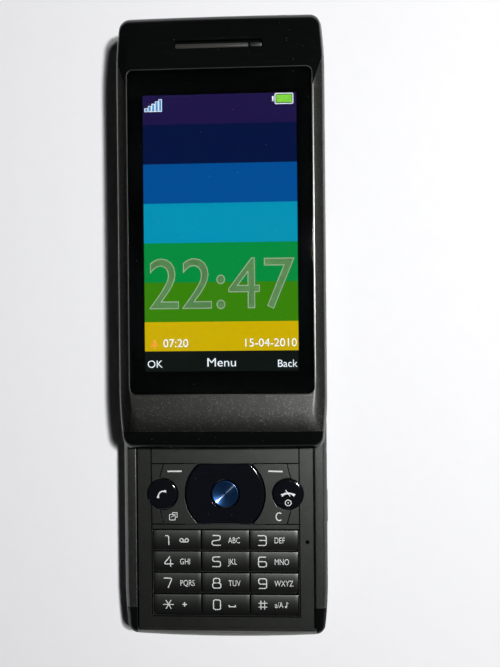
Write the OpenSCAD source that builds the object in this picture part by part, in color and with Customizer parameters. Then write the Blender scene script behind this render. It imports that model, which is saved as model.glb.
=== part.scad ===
// Slider phone, shown open and lying on its back.
// X runs across the phone, Y towards its earpiece end and Z out of the screen.
// The origin is the centre of the open phone's footprint, on its resting face.

/* [Outline] */
// Width of both halves
body_w = 50; // [49.5:0.5:54]
// Length of each half, which is the length of the closed phone
body_l = 104; // [102:1:110]
// How far the display half slides between closed and open
travel = 46.7; // [42:0.1:48]
// Radius of the long curve that draws each side in towards an end
sweep_r = 90; // [70:5:110]
// Angle that this curve turns through
sweep_a = 7; // [5:0.5:8]
// Radius of the corners seen from the front
corner_r = 2.5; // [2:0.1:3]
// Radius of the slight bow of the display half's ends
slide_bow_r = 1500; // [500:50:3000]
// Radius of the slight bow of the keypad half's ends
base_bow_r = 400; // [300:20:1500]

/* [Keypad half, from back to front] */
// Thickness of the battery cover
cover_t = 0.9; // [0.8:0.05:1.1]
// Thickness of the housing's floor, inside the cover
floor_t = 0.55; // [0.5:0.05:0.8]
// Thickness of the battery
battery_t = 4.1; // [3.9:0.1:5]
// Thickness of the middle frame's web
web_t = 0.6; // [0.5:0.05:0.8]
// Thickness of the main board
board_t = 0.7; // [0.6:0.05:0.9]
// Room between the main board and the runner feet
board_air = 0.2; // [0.15:0.05:0.4]
// Thickness of the runner feet
foot_t = 0.5; // [0.4:0.05:0.7]
// Thickness of the fixed steel plate and its rails
plate_t = 0.5; // [0.4:0.05:0.7]
// Thickness of the deck round the keys
deck_t = 0.5; // [0.45:0.05:0.7]

/* [Runners] */
// Width of the strip of housing outside each runner groove
strip_w = 3; // [2.8:0.1:3.2]
// Width of each runner groove
groove_w = 0.55; // [0.5:0.05:0.7]
// Thickness of the blades that run in the grooves
blade_t = 0.3; // [0.25:0.05:0.35]
// Width of the rails that the feet hook under
rail_w = 2.7; // [2.3:0.1:2.8]
// How far each foot reaches under its rail
foot_reach = 1.5; // [1:0.1:1.6]
// Length of groove left beyond the blades at either limit
blade_margin = 4.35; // [4:0.05:8]

/* [Keypad] */
// Width of the deck beside the keys
pad_side = 3.8; // [3.5:0.05:4.5]
// Distance from the foot of the phone to the lowest row of keys
pad_margin = 5.9; // [5.4:0.1:8]
// Height of one number key
key_h = 4.95; // [4:0.05:5.1]
// Gap between neighbouring keys
key_gap = 0.3; // [0.25:0.05:0.4]
// Height of the fixed bar between numbers and navigation keys
band_h = 1.3; // [1:0.1:2]
// Height of the row of navigation keys
nav_h = 15.05; // [14.6:0.05:15.5]
// Width of the rocker keys where they pass between the ring and a round key
rocker_neck = 1.5; // [1:0.1:2]
// Radius of the select key, as a part of the ring's radius
select_part = 0.342; // [0.3:0.002:0.36]
// Radius of the call key and the end key
call_r = 3.65; // [3.2:0.05:3.8]
// Distance of these keys' middles from the edge of the keys
call_in = 2.25; // [2.2:0.05:2.6]
// Distance of the rocker keys' outer corners from the edge of the keys
rocker_side = 2.65; // [2.5:0.05:3.2]
// How far the rocker keys' sides lean out towards the call key
rocker_lean = 1.05; // [0.6:0.05:1.2]
// Height of the keys' upper edges above the deck
key_rise = 0.35; // [0.2:0.05:0.4]
// How far the number keys' faces slope down from that edge
key_slope = 0.35; // [0.1:0.05:0.4]
// How far a key moves when it is pressed
key_press = 0.3; // [0.2:0.05:0.3]

/* [Display half, from back to front] */
// Free height between the deck and the display half
slide_gap = 0.7; // [0.65:0.05:1]
// Thickness of the display half's back cover
back_t = 0.9; // [0.8:0.05:1.2]
// Thickness of the carriage plate let into it
carriage_t = 0.4; // [0.3:0.05:0.5]
// Height of the bright trim round the display half
trim_t = 0.5; // [0.4:0.05:0.8]
// Thickness of the display tray's sheet metal
tray_t = 0.4; // [0.3:0.05:0.5]
// Thickness of the display module
lcd_t = 3.65; // [3.4:0.05:4]
// Thickness of the window glass
glass_t = 1.3; // [1.1:0.05:1.5]
// How far the glass stands above its frame
glass_rise = 0.15; // [0.05:0.05:0.2]

/* [Display] */
// Width of the frame beside the window glass
frame_side = 3.2; // [3:0.1:4]
// Length of the frame above and below the window glass
frame_end = 13.7; // [13:0.1:16]
// Radius of the glass's corners
window_r = 1.4; // [0.8:0.1:1.8]
// Width of the glass's printed border beside the display module
lcd_side = 2.4; // [2.1:0.1:3]
// Width of the printed border above and below the display module
lcd_end = 3; // [2.6:0.1:4]
// Length of the lower lip
lip_l = 4.65; // [4:0.05:5.5]
// How far the upper cap reaches down beside the glass
cap_under = 4.7; // [3:0.1:6]
// Steepness of the cap's seam beside the glass
cap_slope = 2.9; // [2:0.1:3.5]
// Distance from the head of the display half to the earpiece slot
ear_inset = 7.9; // [7:0.1:8.5]
// Length of the earpiece slot with the sensor beside it
ear_l = 20.5; // [18:0.1:22]
// Length of the sensor's window at the end of that slot
sensor_l = 2.9; // [2.5:0.1:3.5]
// Width of the slot
ear_w = 1.7; // [1.4:0.1:2]

/* [Back and sides] */
// Width of the housing beside the battery cover
cover_side = 5; // [4.7:0.1:5.4]
// How far the battery cover reaches beyond the battery
cover_over = 2.7; // [2.4:0.1:3]
// Width of the tongues that hold the cover
tongue_w = 0.7; // [0.5:0.05:1]
// Thickness of these tongues
tongue_t = 0.35; // [0.3:0.05:0.4]
// Distance from the foot of the phone to the battery
battery_y = 24.8; // [24.6:0.1:26]
// Length of the head, with camera, loudspeaker and motor, above the battery
head_l = 27.2; // [27:0.1:30]
// Outer radius of the camera's ring
camera_r = 6; // [5.6:0.1:6.5]
// Radius of the camera's window
lens_r = 4.5; // [4:0.1:4.6]
// Distance from the head of the phone to the camera's middle
camera_y = 9.6; // [9.2:0.1:10]
// Radius of the flash lamp
flash_r = 1.6; // [1.2:0.1:2]
// Distance from the camera module's side to the flash lamp's middle
flash_out = 5.3; // [4.5:0.1:6]
// Length of the volume key
volume_l = 16; // [12:0.5:18]
// Length of the camera key
shutter_l = 8; // [6:0.5:10]
// Width of both side keys
side_key_w = 2.4; // [2:0.1:2.8]
// Distance from the head of the phone to the volume key's middle
volume_y = 23; // [20:0.5:26]
// Distance from the foot of the phone to the camera key's middle
shutter_y = 32; // [28:0.5:50]
// Width of the side socket
port_w = 8; // [7:0.1:9]
// Height of the side socket
port_h = 2.6; // [2.4:0.1:2.8]

/* [Fits] */
// Clearance of flat fits between pieces that are assembled together
fit = 0.1; // [0.05:0.01:0.12]
// Running gap of the feet under the rails
rail_gap = 0.1; // [0.08:0.01:0.15]
// Gap between a key and the deck round it
key_clear = 0.2; // [0.15:0.05:0.25]
// Gap between the neighbouring navigation keys
nav_clear = 0.3; // [0.2:0.05:0.3]
// Clearance round the screws and lamps in their bores
bore_fit = 0.03; // [0.02:0.01:0.05]
// Width of the visible seams between shell pieces
seam = 0.05; // [0.03:0.01:0.1]

/* [Hidden] */
$fn = 48;
SMALL_FN = 24;
FAR = 200;

// Heights of the keypad half's layers, from the resting face up
floor_z = cover_t + seam;
inside_z = floor_z + floor_t;
battery_z = cover_t + fit;
web_z = battery_z + battery_t + fit;
board_z = web_z + web_t;
board_top = board_z + board_t;
foot_z = board_top + board_air;
rail_z = foot_z + foot_t + rail_gap;
deck_z = rail_z + plate_t;
base_t = deck_z + deck_t;

// Heights of the display half's layers
slide_z = base_t + slide_gap;
trim_z = slide_z + back_t;
frame_z = trim_z + trim_t;
tray_z = trim_z + fit;
lcd_z = tray_z + tray_t + seam;
glass_z = lcd_z + lcd_t + fit;
body_t = glass_z + glass_t;
face_z = body_t - glass_rise;

// Ends of both halves along Y, with the phone open
base_foot = -(body_l + travel) / 2;
base_head = base_foot + body_l;
slide_head = -base_foot;
slide_foot = slide_head - body_l;
slide_y = (slide_head + slide_foot) / 2;

// Lengths and widths that follow from the borders round them
window_w = body_w - 2 * frame_side;
window_l = body_l - 2 * frame_end;
lcd_w = window_w - 2 * lcd_side;
lcd_l = window_l - 2 * lcd_end;
cover_w = body_w - 2 * cover_side;
battery_l = body_l - battery_y - head_l;
cover_l = battery_y + battery_l + cover_over;

// Inside faces of the keypad half
end_wall = 2.7;
head_wall = 2.4;
cellar_inset = 3.3;
shelf = 0.8;
cap_l = 7.5;
rim_low_z = 3.5;
board_margin = 0.5;
wall_x = body_w / 2 - strip_w;
deck_x = wall_x - groove_w;
blade_x = wall_x - (groove_w - blade_t) / 2;
foot_x = deck_x - foot_reach;
board_x = foot_x - board_margin;
ledge_x = cover_w / 2 - fit;
latch_inset = 1.5;
room_y0 = base_foot + end_wall;
room_y1 = base_head - head_wall;
cellar_y0 = base_foot + cellar_inset;
cellar_y1 = base_head - cellar_inset;

// Keypad layout
pad_w = 2 * (deck_x - pad_side);
key_w = (pad_w - 2 * key_gap) / 3;
call_x = pad_w / 2 - call_in;
rocker_x = pad_w / 2 - rocker_side;
ring_r = call_x - call_r - 2 * nav_clear - rocker_neck;
select_r = ring_r * select_part;
film_t = 0.1;
mat_t = 0.3;
boss_t = 0.15;
mat_boss_r = 1.2;
mat_z = board_top + film_t;
mat_top = mat_z + mat_t;
boss_z = mat_top + boss_t;
key_z = boss_z + key_press + seam;
pad_y0 = base_foot + pad_margin;
pad_y1 = pad_y0 + 4 * key_h + 3 * key_gap;
nav_y0 = pad_y1 + band_h;
nav_y1 = nav_y0 + nav_h;
nav_y = (nav_y0 + nav_y1) / 2;
flat_y = nav_h / 2 - key_clear;
lean_y = call_r;
key_top = base_t + key_rise;
key_step = 0.15;
key_edge = 0.3;
dish_r = 6.9;
dish_off = 5.4;
rocker_drop = 0.2;
rocker_in = sqrt(max(0, pow(ring_r + nav_clear, 2) - pow(flat_y, 2))) + nav_clear;
actuator_part = 0.845;
actuator_r = ring_r * actuator_part;
select_dish = 0.25;
dimple_r = 24;
dome_step = 0.1;
actuator_z = mat_top + nav_clear;
actuator_t = 0.25;
ring_z = actuator_z + actuator_t + key_clear;

// Screws, bosses and posts of the keypad half
screw_r = 0.65;
head_r = 1.2;
head_t = 0.7;
drive_w = 0.3;
boss_r = 1.25;
post_r = 1.1;
screw_x = foot_x - post_r - 2.5 * fit;
end_screw_x = 12;
screw_inset = 4.15;
plate_y0 = nav_y1 + 4.4;
SCREWS = [for (s = [-1, 1], y = [plate_y0 + 2, base_head - screw_inset]) [s * screw_x, y]];
END_SCREWS = [for (s = [-1, 1]) [s * end_screw_x, base_foot + screw_inset]];
ALL_SCREWS = concat(SCREWS, END_SCREWS);

// Back of the keypad half
bay_x = screw_x - boss_r - 2 * fit;
battery_w = 2 * (bay_x - 2 * fit);
bay_y0 = base_foot + 5.6;
bay_y1 = base_foot + battery_y + battery_l + 2 * fit;
contact_w = 12;
contact_l = 4;
contact_y = base_foot + battery_y + 1;
camera_pos = base_head - camera_y;
camera_box = 8.6;
camera_box_t = 2.9;
flash_x = camera_box / 2 + flash_out;
flash_board = 2;
speaker_x0 = camera_box / 2 + 1.45;
speaker_x1 = screw_x - boss_r - 0.95;
speaker_x = -(speaker_x0 + speaker_x1) / 2;
speaker_w = speaker_x1 - speaker_x0;
speaker_l = 12;
grille_w = speaker_w - 1.5;
grille_l = 3;
grille_pitch = 0.9;
grille_slit = 0.4;
motor_r = 1.7;
motor_x = ledge_x - 13.9;
motor_l = 8;
motor_inset = 21.4;
motor_y = base_head - motor_inset;
motor_z = inside_z + motor_r + seam;
weight_l = 2.8;
weight_r = motor_r - 0.2;
weight_cut = 0.8;
weight_gap = 0.3;
shaft_r = 0.3;
shaft_fit = 0.02;
port_y = base_head - 12.6;
port_z = web_z - port_h - 0.3;
side_key_z = 4.2;
side_key_depth = 1.3;
side_key_rise = 0.12;
socket_l = 6.3;
socket_wall = 0.4;
socket_back = 1;
socket_inset = 0.6;
socket_x = body_w / 2 - socket_inset;
tongue_out = 0.6;
card_gap = 1.5;
sim_size = [bay_x - card_gap - 1, 17, 1.6];
card_size = [bay_x - card_gap - 2.5, 14, 1.9];
antenna_size = [20, 1.5, 3.2];
mic_x = deck_x - 1.45;
mic_inset = 23.7;
mic_y = base_foot + mic_inset;
mic_r = 0.3;
mic_body = 2;
mic_ear = 0.4;
can_x = screw_x - post_r - 4 * fit;
can_gap = 2;

// Inside of the display half
inner_x = lcd_w / 2 + tray_t + 2 * fit;
ear_wall = 0.3;
ear_size = [ear_l - 6.5, 4, 2.4];
ear_over = 1.6;
inner_l = body_l - 2 * (ear_inset - ear_over - ear_wall);
lcd_step = 0.5;
lcd_rim_t = 0.6;
tray_h = 2.6;
roof_t = 0.15;
ear_sunk = 0.25;
ear_hole = 0.5;
ear_pitch = 1.2;
pocket_fit = 0.05;
ear_x = -ear_l / 2;
sensor_gap = 0.3;
ear_end = ear_x + ear_l - sensor_l - sensor_gap;
ear_slot_y = slide_head - ear_inset;
blade_y0 = slide_foot + blade_margin;
blade_y1 = base_head - blade_margin;
carriage_lip = 1;
back_inset = 0.25;
carriage_x = blade_x + 3 * fit;
carriage_screw_x = blade_x - 5.95;
carriage_screw_in = 5;
carriage_cut = [18, 16];
CARRIAGE_SCREWS = [for (s = [-1, 1], y = [blade_y0 + carriage_screw_in,
    blade_y1 - carriage_screw_in]) [s * carriage_screw_x, y]];

// A row of points along an arc
function arc(cx, cy, r, a0, a1, n) =
    [for (i = [0:n]) let (a = a0 + (a1 - a0) * i / n) [cx + r * cos(a), cy + r * sin(a)]];

// One quarter of an outline: a side that draws in, a corner and a bowed end
function quarter(w, l, bow) =
    let (cx = w / 2 - sweep_r + (sweep_r - corner_r) * cos(sweep_a),
        bow_y = l / 2 - bow,
        cy = bow_y + sqrt(pow(bow - corner_r, 2) - cx * cx),
        side_y = cy - (sweep_r - corner_r) * sin(sweep_a),
        end_a = atan2(cy - bow_y, cx))
    concat(arc(w / 2 - sweep_r, side_y, sweep_r, 0, sweep_a, 5),
        arc(cx, cy, corner_r, sweep_a + 12, end_a, 5),
        arc(0, bow_y, bow, end_a + (90 - end_a) / 3, 90, 2));

// The whole outline of a half, from its quarter
function outline(w, l, bow) =
    let (q = quarter(w, l, bow), n = len(q) - 1)
    concat(q, [for (i = [n - 1:-1:0]) [-q[i][0], q[i][1]]],
        [for (i = [0:n]) [-q[i][0], -q[i][1]]],
        [for (i = [n - 1:-1:0]) [q[i][0], -q[i][1]]]);

// A profile of half widths and heights, closed on its mirror image
function mirrored(p) =
    concat(p, [for (i = [len(p) - 1:-1:0]) [-p[i][0], p[i][1]]]);

// Cross section of the keypad half: rounded back edges and chamfered strips
function base_section() = mirrored([[cover_w / 2, 0], [body_w / 2 - 2.4, 0.5],
    [body_w / 2 - 0.9, 1.8], [body_w / 2 - 0.15, 3.6], [body_w / 2, 5],
    [body_w / 2 - 0.1, base_t - 1.1], [body_w / 2 - 1.1, base_t]]);

// Lengthwise section of the keypad half
function base_profile() = mirrored([[body_l / 2 - 4.8, 0], [body_l / 2 - 2.2, 0.7],
    [body_l / 2 - 0.6, 2.4], [body_l / 2, 4.8], [body_l / 2 - 0.3, base_t - 1.6],
    [body_l / 2 - 1.1, base_t - 0.5], [body_l / 2 - 2.4, base_t]]);

// Cross section of the display half's front shell
function slide_section() = mirrored([[body_w / 2 - 0.1, frame_z - 1],
    [body_w / 2 - 0.1, frame_z + 0.3], [body_w / 2 - 0.45, frame_z + 1.8],
    [body_w / 2 - 1.05, frame_z + 3.4], [body_w / 2 - 1.7, face_z - 0.6],
    [body_w / 2 - 2.7, face_z]]);

// Lengthwise section of the display half's front shell
function slide_profile() = mirrored([[body_l / 2 - 0.1, frame_z - 1],
    [body_l / 2 - 0.1, frame_z + 0.4], [body_l / 2 - 0.5, frame_z + 2],
    [body_l / 2 - 1.2, frame_z + 3.4], [body_l / 2 - 2.4, face_z - 0.35],
    [body_l / 2 - 4.2, face_z]]);

// A solid with a given outline, cross section and lengthwise section
module shell_form(points, section, profile, y) {
    translate([0, y, 0]) intersection() {
        linear_extrude(FAR) polygon(points);
        rotate([90, 0, 0]) linear_extrude(FAR, center = true) polygon(section);
        rotate([90, 0, 90]) linear_extrude(FAR, center = true) polygon(profile);
    }
}

module base_form() {
    shell_form(outline(body_w, body_l, base_bow_r), base_section(), base_profile(),
        (base_foot + base_head) / 2);
}

module slide_form() {
    shell_form(outline(body_w, body_l, slide_bow_r), slide_section(), slide_profile(), slide_y);
}

// A block given by its lower and upper corners
module block(low, high) {
    translate(low) cube(high - low);
}

// A block between -x and x
module slab(x, y0, y1, z0, z1) {
    block([-x, y0, z0], [x, y1, z1]);
}

// A disc or rod standing on z0
module disc(x, y, r, z0, z1, fn = 48) {
    translate([x, y, z0]) cylinder(h = z1 - z0, r = r, $fn = fn);
}

// A rounded rectangle made of two bars and four discs
module rounded(w, l, r) {
    square([w - 2 * r, l], center = true);
    square([w, l - 2 * r], center = true);
    for (x = [-1, 1], y = [-1, 1]) translate([x * (w / 2 - r), y * (l / 2 - r)]) circle(r);
}

module rounded_slab(y, w, l, r, z0, z1) {
    translate([0, y, z0]) linear_extrude(z1 - z0) rounded(w, l, r);
}

// Holes or pins at a list of places
module at_each(places, r, z0, z1) {
    for (p = places) disc(p[0], p[1], r, z0, z1, SMALL_FN);
}

// The corners of the keypad half that the gloss caps take
module cap_zone(grow) {
    for (s = [-1, 1]) on_side(s)
        block([wall_x - grow, base_foot - 1, rim_low_z - grow],
            [body_w, base_foot + cap_l + grow, FAR]);
}

// Puts what follows on the right side, or mirrored on the left
module on_side(s) {
    if (s > 0) children();
    else mirror([1, 0, 0]) children();
}

// The end of the keypad half that the bright rim takes
module rim_zone(grow) {
    slab(wall_x - seam + 2 * grow, base_foot - 1, room_y0 - shelf + grow,
        rim_low_z - grow, FAR);
}

// The battery cover's space; grow is its clearance
module cover_zone(grow) {
    slab(cover_w / 2 + grow, base_foot - 1, base_foot + cover_l + grow, -1, cover_t + grow);
    slab(cover_w / 2 + tongue_w + grow, base_foot - 1, base_foot + cover_l - latch_inset + grow,
        tongue_t - grow, 2 * tongue_t + grow);
}

// A side key, or with its clearance the pocket that it moves in
module side_pocket(s, y, l, grow) {
    on_side(s) block([body_w / 2 - side_key_depth - (grow > 0 ? key_press + fit : 0),
        y - l / 2 - grow, side_key_z - side_key_w / 2 - grow],
        [body_w / 2 + (grow > 0 ? 1 : side_key_rise), y + l / 2 + grow,
            side_key_z + side_key_w / 2 + grow]);
}

module base_shell() {
    color("#34373a") difference() {
        union() {
            difference() {
                base_form();
                slab(ledge_x, cellar_y0, cellar_y1, inside_z, web_z);
                slab(wall_x, room_y0, room_y1, web_z, FAR);
            }
            at_each(ALL_SCREWS, boss_r, floor_z, web_z);
        }
        at_each(ALL_SCREWS, screw_r + bore_fit, 0, FAR);
        at_each(ALL_SCREWS, head_r + bore_fit, 0, floor_z + head_t + fit);
        slab(bay_x, bay_y0, bay_y1, -1, web_z);
        cover_zone(seam);
        cap_zone(seam);
        rim_zone(seam);
        disc(0, camera_pos, camera_r + seam, -1, inside_z + 1);
        disc(flash_x, camera_pos, flash_r + bore_fit, -1, inside_z + 1, SMALL_FN);
        translate([speaker_x, camera_pos, 0])
            slab(grille_w / 2 + seam, -grille_l / 2 - seam, grille_l / 2 + seam, -1, web_z);
        side_pocket(-1, base_head - volume_y, volume_l, key_clear);
        side_pocket(1, base_foot + shutter_y, shutter_l, key_clear);
        block([0, port_y - port_w / 2 - seam, port_z - seam],
            [body_w, port_y + port_w / 2 + seam, port_z + port_h + seam]);
    }
}

module middle_frame() {
    color("#54575a") difference() {
        slab(wall_x - fit, room_y0 + fit, room_y1 - fit, web_z, board_z);
        at_each(ALL_SCREWS, screw_r + bore_fit, 0, FAR);
        mic_block(fit, web_z - 1, FAR);
        slab(contact_w / 2, contact_y, contact_y + contact_l, 0, FAR);
    }
}

// The navigation keys' field: its slanted sides lean out towards the call and end keys
module nav_field(grow) {
    side = [[rocker_x + grow, flat_y + grow], [rocker_x + rocker_lean + grow, lean_y]];
    polygon(concat(side, [for (p = [side[1], side[0]]) [p[0], -p[1]]],
        [for (p = side) [-p[0], -p[1]]], [for (p = [side[1], side[0]]) [-p[0], p[1]]]));
}

// Where the navigation keys come through the deck
module nav_window() {
    nav_field(key_clear);
    for (s = [-1, 1]) translate([s * call_x, 0]) circle(call_r + key_clear);
}

module keypad_deck() {
    color("#3b3e40") difference() {
        union() {
            slab(deck_x, room_y0 + seam, room_y1 - fit, deck_z, base_t);
            at_each(END_SCREWS, post_r, board_z, base_t);
        }
        slab(pad_w / 2 + key_clear, pad_y0 - key_clear, pad_y1 + key_clear, 0, FAR);
        translate([0, nav_y, -1]) linear_extrude(FAR) nav_window();
        disc(mic_x, mic_y, mic_r, 0, FAR, SMALL_FN);
        at_each(END_SCREWS, screw_r + bore_fit, 0, rail_z);
    }
}

module base_rim() {
    color("#8f9294") intersection() {
        base_form();
        rim_zone(0);
    }
}

module end_caps() {
    color("#111214") intersection() {
        base_form();
        cap_zone(0);
    }
}

module slide_plate() {
    color("#9b9ea0") difference() {
        union() {
            slab(deck_x, plate_y0, room_y1 - fit, rail_z, deck_z);
            for (s = [-1, 1]) on_side(s)
                block([deck_x - rail_w, room_y0 + seam, rail_z],
                    [deck_x, plate_y0 + 1, deck_z]);
            at_each(SCREWS, post_r, board_z, deck_z);
        }
        for (s = [-1, 1]) disc(s * call_x, nav_y, call_r + key_clear, 0, FAR);
        disc(mic_x, mic_y, mic_r, 0, FAR, SMALL_FN);
        at_each(SCREWS, screw_r + bore_fit, 0, rail_z);
    }
}

// The microphone's place, grown all round
module mic_block(grow, z0, z1) {
    reach = mic_body / 2 + grow;
    block([mic_x - reach, mic_y - reach, z0], [mic_x + reach, mic_y + reach, z1]);
}

module main_board() {
    color("#1f5a3a") difference() {
        union() {
            slab(board_x, room_y0 + 4 * fit, room_y1 - 4 * fit, board_z, board_top);
            mic_block(mic_ear, board_z, board_top);
        }
        at_each(ALL_SCREWS, post_r + fit, 0, FAR);
        disc(mic_x, mic_y, mic_r, 0, FAR, SMALL_FN);
    }
}

module shield_cans() {
    color("#b5b8ba") {
        slab(can_x, plate_y0 + 0.5, -can_gap, board_top, rail_z - seam);
        slab(can_x, 0, room_y1 - can_gap, board_top, rail_z - seam);
    }
}

module keypad_board() {
    color("#c8a050") difference() {
        slab(pad_w / 2, pad_y0, nav_y1, board_top, mat_z);
        at_each(END_SCREWS, post_r + fit, 0, FAR);
    }
}

module keypad_mat() {
    color("#d8d8d4") {
        slab(pad_w / 2 - fit, pad_y0, nav_y1, mat_z, mat_top);
        for (row = [0:3], col = [-1:1])
            disc(col * (key_w + key_gap), pad_y0 + key_h / 2 + row * (key_h + key_gap),
                mat_boss_r, mat_z, boss_z, SMALL_FN);
        for (x = [-call_x, 0, call_x]) disc(x, nav_y, mat_boss_r, mat_z, boss_z, SMALL_FN);
    }
}

module battery() {
    color("#4a4d52") slab(battery_w / 2, base_foot + battery_y,
        base_foot + battery_y + battery_l, battery_z, battery_z + battery_t);
}

module card_holders() {
    color("#a9acae") {
        translate([-card_gap - sim_size[0], bay_y0 + card_gap, web_z - sim_size[2]])
            cube(sim_size);
        translate([card_gap, bay_y0 + card_gap, web_z - card_size[2]]) cube(card_size);
    }
}

module camera_module() {
    color("#202224") {
        disc(0, camera_pos, lens_r - 7 * fit, floor_z + 4 * fit, web_z - 1);
        slab(camera_box / 2, camera_pos - camera_box / 2, camera_pos + camera_box / 2,
            web_z - camera_box_t, web_z);
    }
}

module camera_ring() {
    color("#c4c7c9") difference() {
        disc(0, camera_pos, camera_r, seam, inside_z);
        disc(0, camera_pos, lens_r + bore_fit, -1, FAR);
    }
}

module camera_window() {
    color("#15181c") disc(0, camera_pos, lens_r, 3 * fit, floor_z + 3 * fit);
}

module flash_lamp() {
    color("#f0ecd8") {
        disc(flash_x, camera_pos, flash_r, fit, inside_z, SMALL_FN);
        block([flash_x - flash_board, camera_pos - flash_board, inside_z],
            [flash_x + flash_board, camera_pos + flash_board, inside_z + board_t]);
    }
}

module loudspeaker() {
    color("#26282a") block([speaker_x - speaker_w / 2, camera_pos - speaker_l / 2, inside_z],
        [speaker_x + speaker_w / 2, camera_pos + speaker_l / 2, web_z - seam]);
}

module speaker_grille() {
    color("#0e0f10") translate([speaker_x, camera_pos, 0]) difference() {
        slab(grille_w / 2, -grille_l / 2, grille_l / 2, fit, inside_z - seam);
        for (i = [-1:1]) translate([0, i * grille_pitch, 0])
            slab(grille_w / 2 - grille_pitch, -grille_slit / 2, grille_slit / 2, -1, FAR);
    }
}

module vibration_motor() {
    color("#b0b2b4") translate([motor_x, motor_y, motor_z]) rotate([0, 90, 0]) {
        cylinder(h = motor_l, r = motor_r);
        cylinder(h = motor_l + weight_l + 2 * weight_gap, r = shaft_r, $fn = SMALL_FN);
    }
}

module vibration_weight() {
    color("#84878a") translate([motor_x + motor_l + weight_gap, motor_y, motor_z])
        rotate([0, 90, 0]) difference() {
            cylinder(h = weight_l, r = weight_r);
            cylinder(h = FAR, r = shaft_r + shaft_fit, center = true, $fn = SMALL_FN);
            translate([-FAR - weight_cut, -FAR / 2, -1]) cube(FAR);
        }
}

module microphone() {
    color("#c9b26a") mic_block(0, web_z + seam, board_z);
}

module antenna() {
    color("#c27a4a") translate([-antenna_size[0] / 2, cellar_y0 + 2 * fit,
        web_z - antenna_size[2]]) cube(antenna_size);
}

module side_socket() {
    color("#b8bbbd") difference() {
        block([socket_x - socket_l, port_y - port_w / 2, port_z],
            [socket_x, port_y + port_w / 2, port_z + port_h]);
        block([socket_x - socket_l + socket_back, port_y - port_w / 2 + socket_wall,
            port_z + socket_wall],
            [body_w, port_y + port_w / 2 - socket_wall, port_z + port_h - socket_wall]);
    }
    color("#1c1d1f") block([socket_x - socket_l + socket_back / 2,
        port_y - port_w / 2 + 3 * socket_wall, port_z + port_h / 2 - tongue_out / 2],
        [socket_x - socket_inset * 3, port_y + port_w / 2 - 3 * socket_wall,
            port_z + port_h / 2 + tongue_out / 2]);
}

module housing_screws() {
    color("#707376") for (p = ALL_SCREWS) difference() {
        union() {
            disc(p[0], p[1], screw_r, floor_z + fit, rail_z - fit, SMALL_FN);
            disc(p[0], p[1], head_r, floor_z + fit, floor_z + head_t, SMALL_FN);
        }
        for (a = [0, 90]) translate([p[0], p[1], floor_z]) rotate([0, 0, a])
            cube([head_r, drive_w, 2 * drive_w], center = true);
    }
}

module battery_cover() {
    color("#3a3d40") intersection() {
        base_form();
        cover_zone(0);
    }
}

module nav_actuator() {
    color("#e2e0d8") difference() {
        disc(0, nav_y, actuator_r, actuator_z, actuator_z + actuator_t);
        disc(0, nav_y, select_r + nav_clear + fit, 0, FAR);
    }
}

module nav_ring() {
    color("#0c0d0f") translate([0, nav_y, 0]) intersection() {
        difference() {
            disc(0, 0, ring_r, ring_z, key_top - seam);
            disc(0, 0, select_r + nav_clear, 0, FAR);
            for (s = [-1, 1]) disc(0, s * (flat_y + dish_off), dish_r, key_top - key_slope, FAR);
        }
        slab(FAR, -flat_y, flat_y, 0, FAR);
    }
}

module select_key() {
    color("#274c7c") difference() {
        disc(0, nav_y, select_r, key_z, key_top - seam);
        translate([0, nav_y, key_top - select_dish + dimple_r]) sphere(r = dimple_r, $fn = 96);
    }
}

// A round gloss key with a stepped dome
module round_key(x) {
    color("#0c0d0f") {
        for (i = [0:2]) disc(x, nav_y, call_r - 3 * dome_step * i * (i + 1) / 2, key_z,
            key_top - dome_step * (2 - i));
    }
}

module call_key() {
    round_key(-call_x);
}

module end_key() {
    round_key(call_x);
}

// The key between the ring and a slanted side of the deck, round the call or end key
module soft_rocker(s) {
    color("#1b1d20") translate([0, nav_y, key_z]) on_side(s)
        linear_extrude(key_top - key_z - rocker_drop) difference() {
            nav_field(0);
            circle(ring_r + nav_clear);
            translate([call_x, 0]) circle(call_r + nav_clear);
            translate([rocker_in - FAR, -FAR / 2]) square(FAR);
        }
}

module soft_rocker_left() {
    soft_rocker(-1);
}

module soft_rocker_right() {
    soft_rocker(1);
}

// One number key; row 0 is the lowest, col runs from -1 to 1
module number_key(row, col) {
    color("#46494b") translate([(col - 0.5) * key_w + col * key_gap,
        pad_y0 + row * (key_h + key_gap), 0])
        rotate([90, 0, 90]) linear_extrude(key_w)
            polygon([[0, key_z], [key_h, key_z], [key_h, key_top - key_step],
                [key_h - key_edge, key_top], [key_edge, key_top - key_slope],
                [0, key_top - key_slope - key_step]]);
}

module key_1() {
    number_key(3, -1);
}

module key_2() {
    number_key(3, 0);
}

module key_3() {
    number_key(3, 1);
}

module key_4() {
    number_key(2, -1);
}

module key_5() {
    number_key(2, 0);
}

module key_6() {
    number_key(2, 1);
}

module key_7() {
    number_key(1, -1);
}

module key_8() {
    number_key(1, 0);
}

module key_9() {
    number_key(1, 1);
}

module key_star() {
    number_key(0, -1);
}

module key_0() {
    number_key(0, 0);
}

module key_hash() {
    number_key(0, 1);
}

module volume_key() {
    color("#a3a6a8") side_pocket(-1, base_head - volume_y, volume_l, 0);
}

module shutter_key() {
    color("#a3a6a8") side_pocket(1, base_foot + shutter_y, shutter_l, 0);
}

// The parts of the front shell above the upper seam and below the lower one
module cap_region(gap) {
    foot = window_l / 2 - cap_under;
    climb = foot + cap_slope * (body_w - window_w) / 2;
    translate([0, slide_y + gap, frame_z]) linear_extrude(FAR)
        polygon([[-body_w / 2, climb], [-window_w / 2, foot], [window_w / 2, foot],
            [body_w / 2, climb], [body_w / 2, FAR], [-body_w / 2, FAR]]);
}

module lip_region(gap) {
    slab(body_w, -FAR, slide_foot + lip_l - gap, frame_z, FAR);
}

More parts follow.
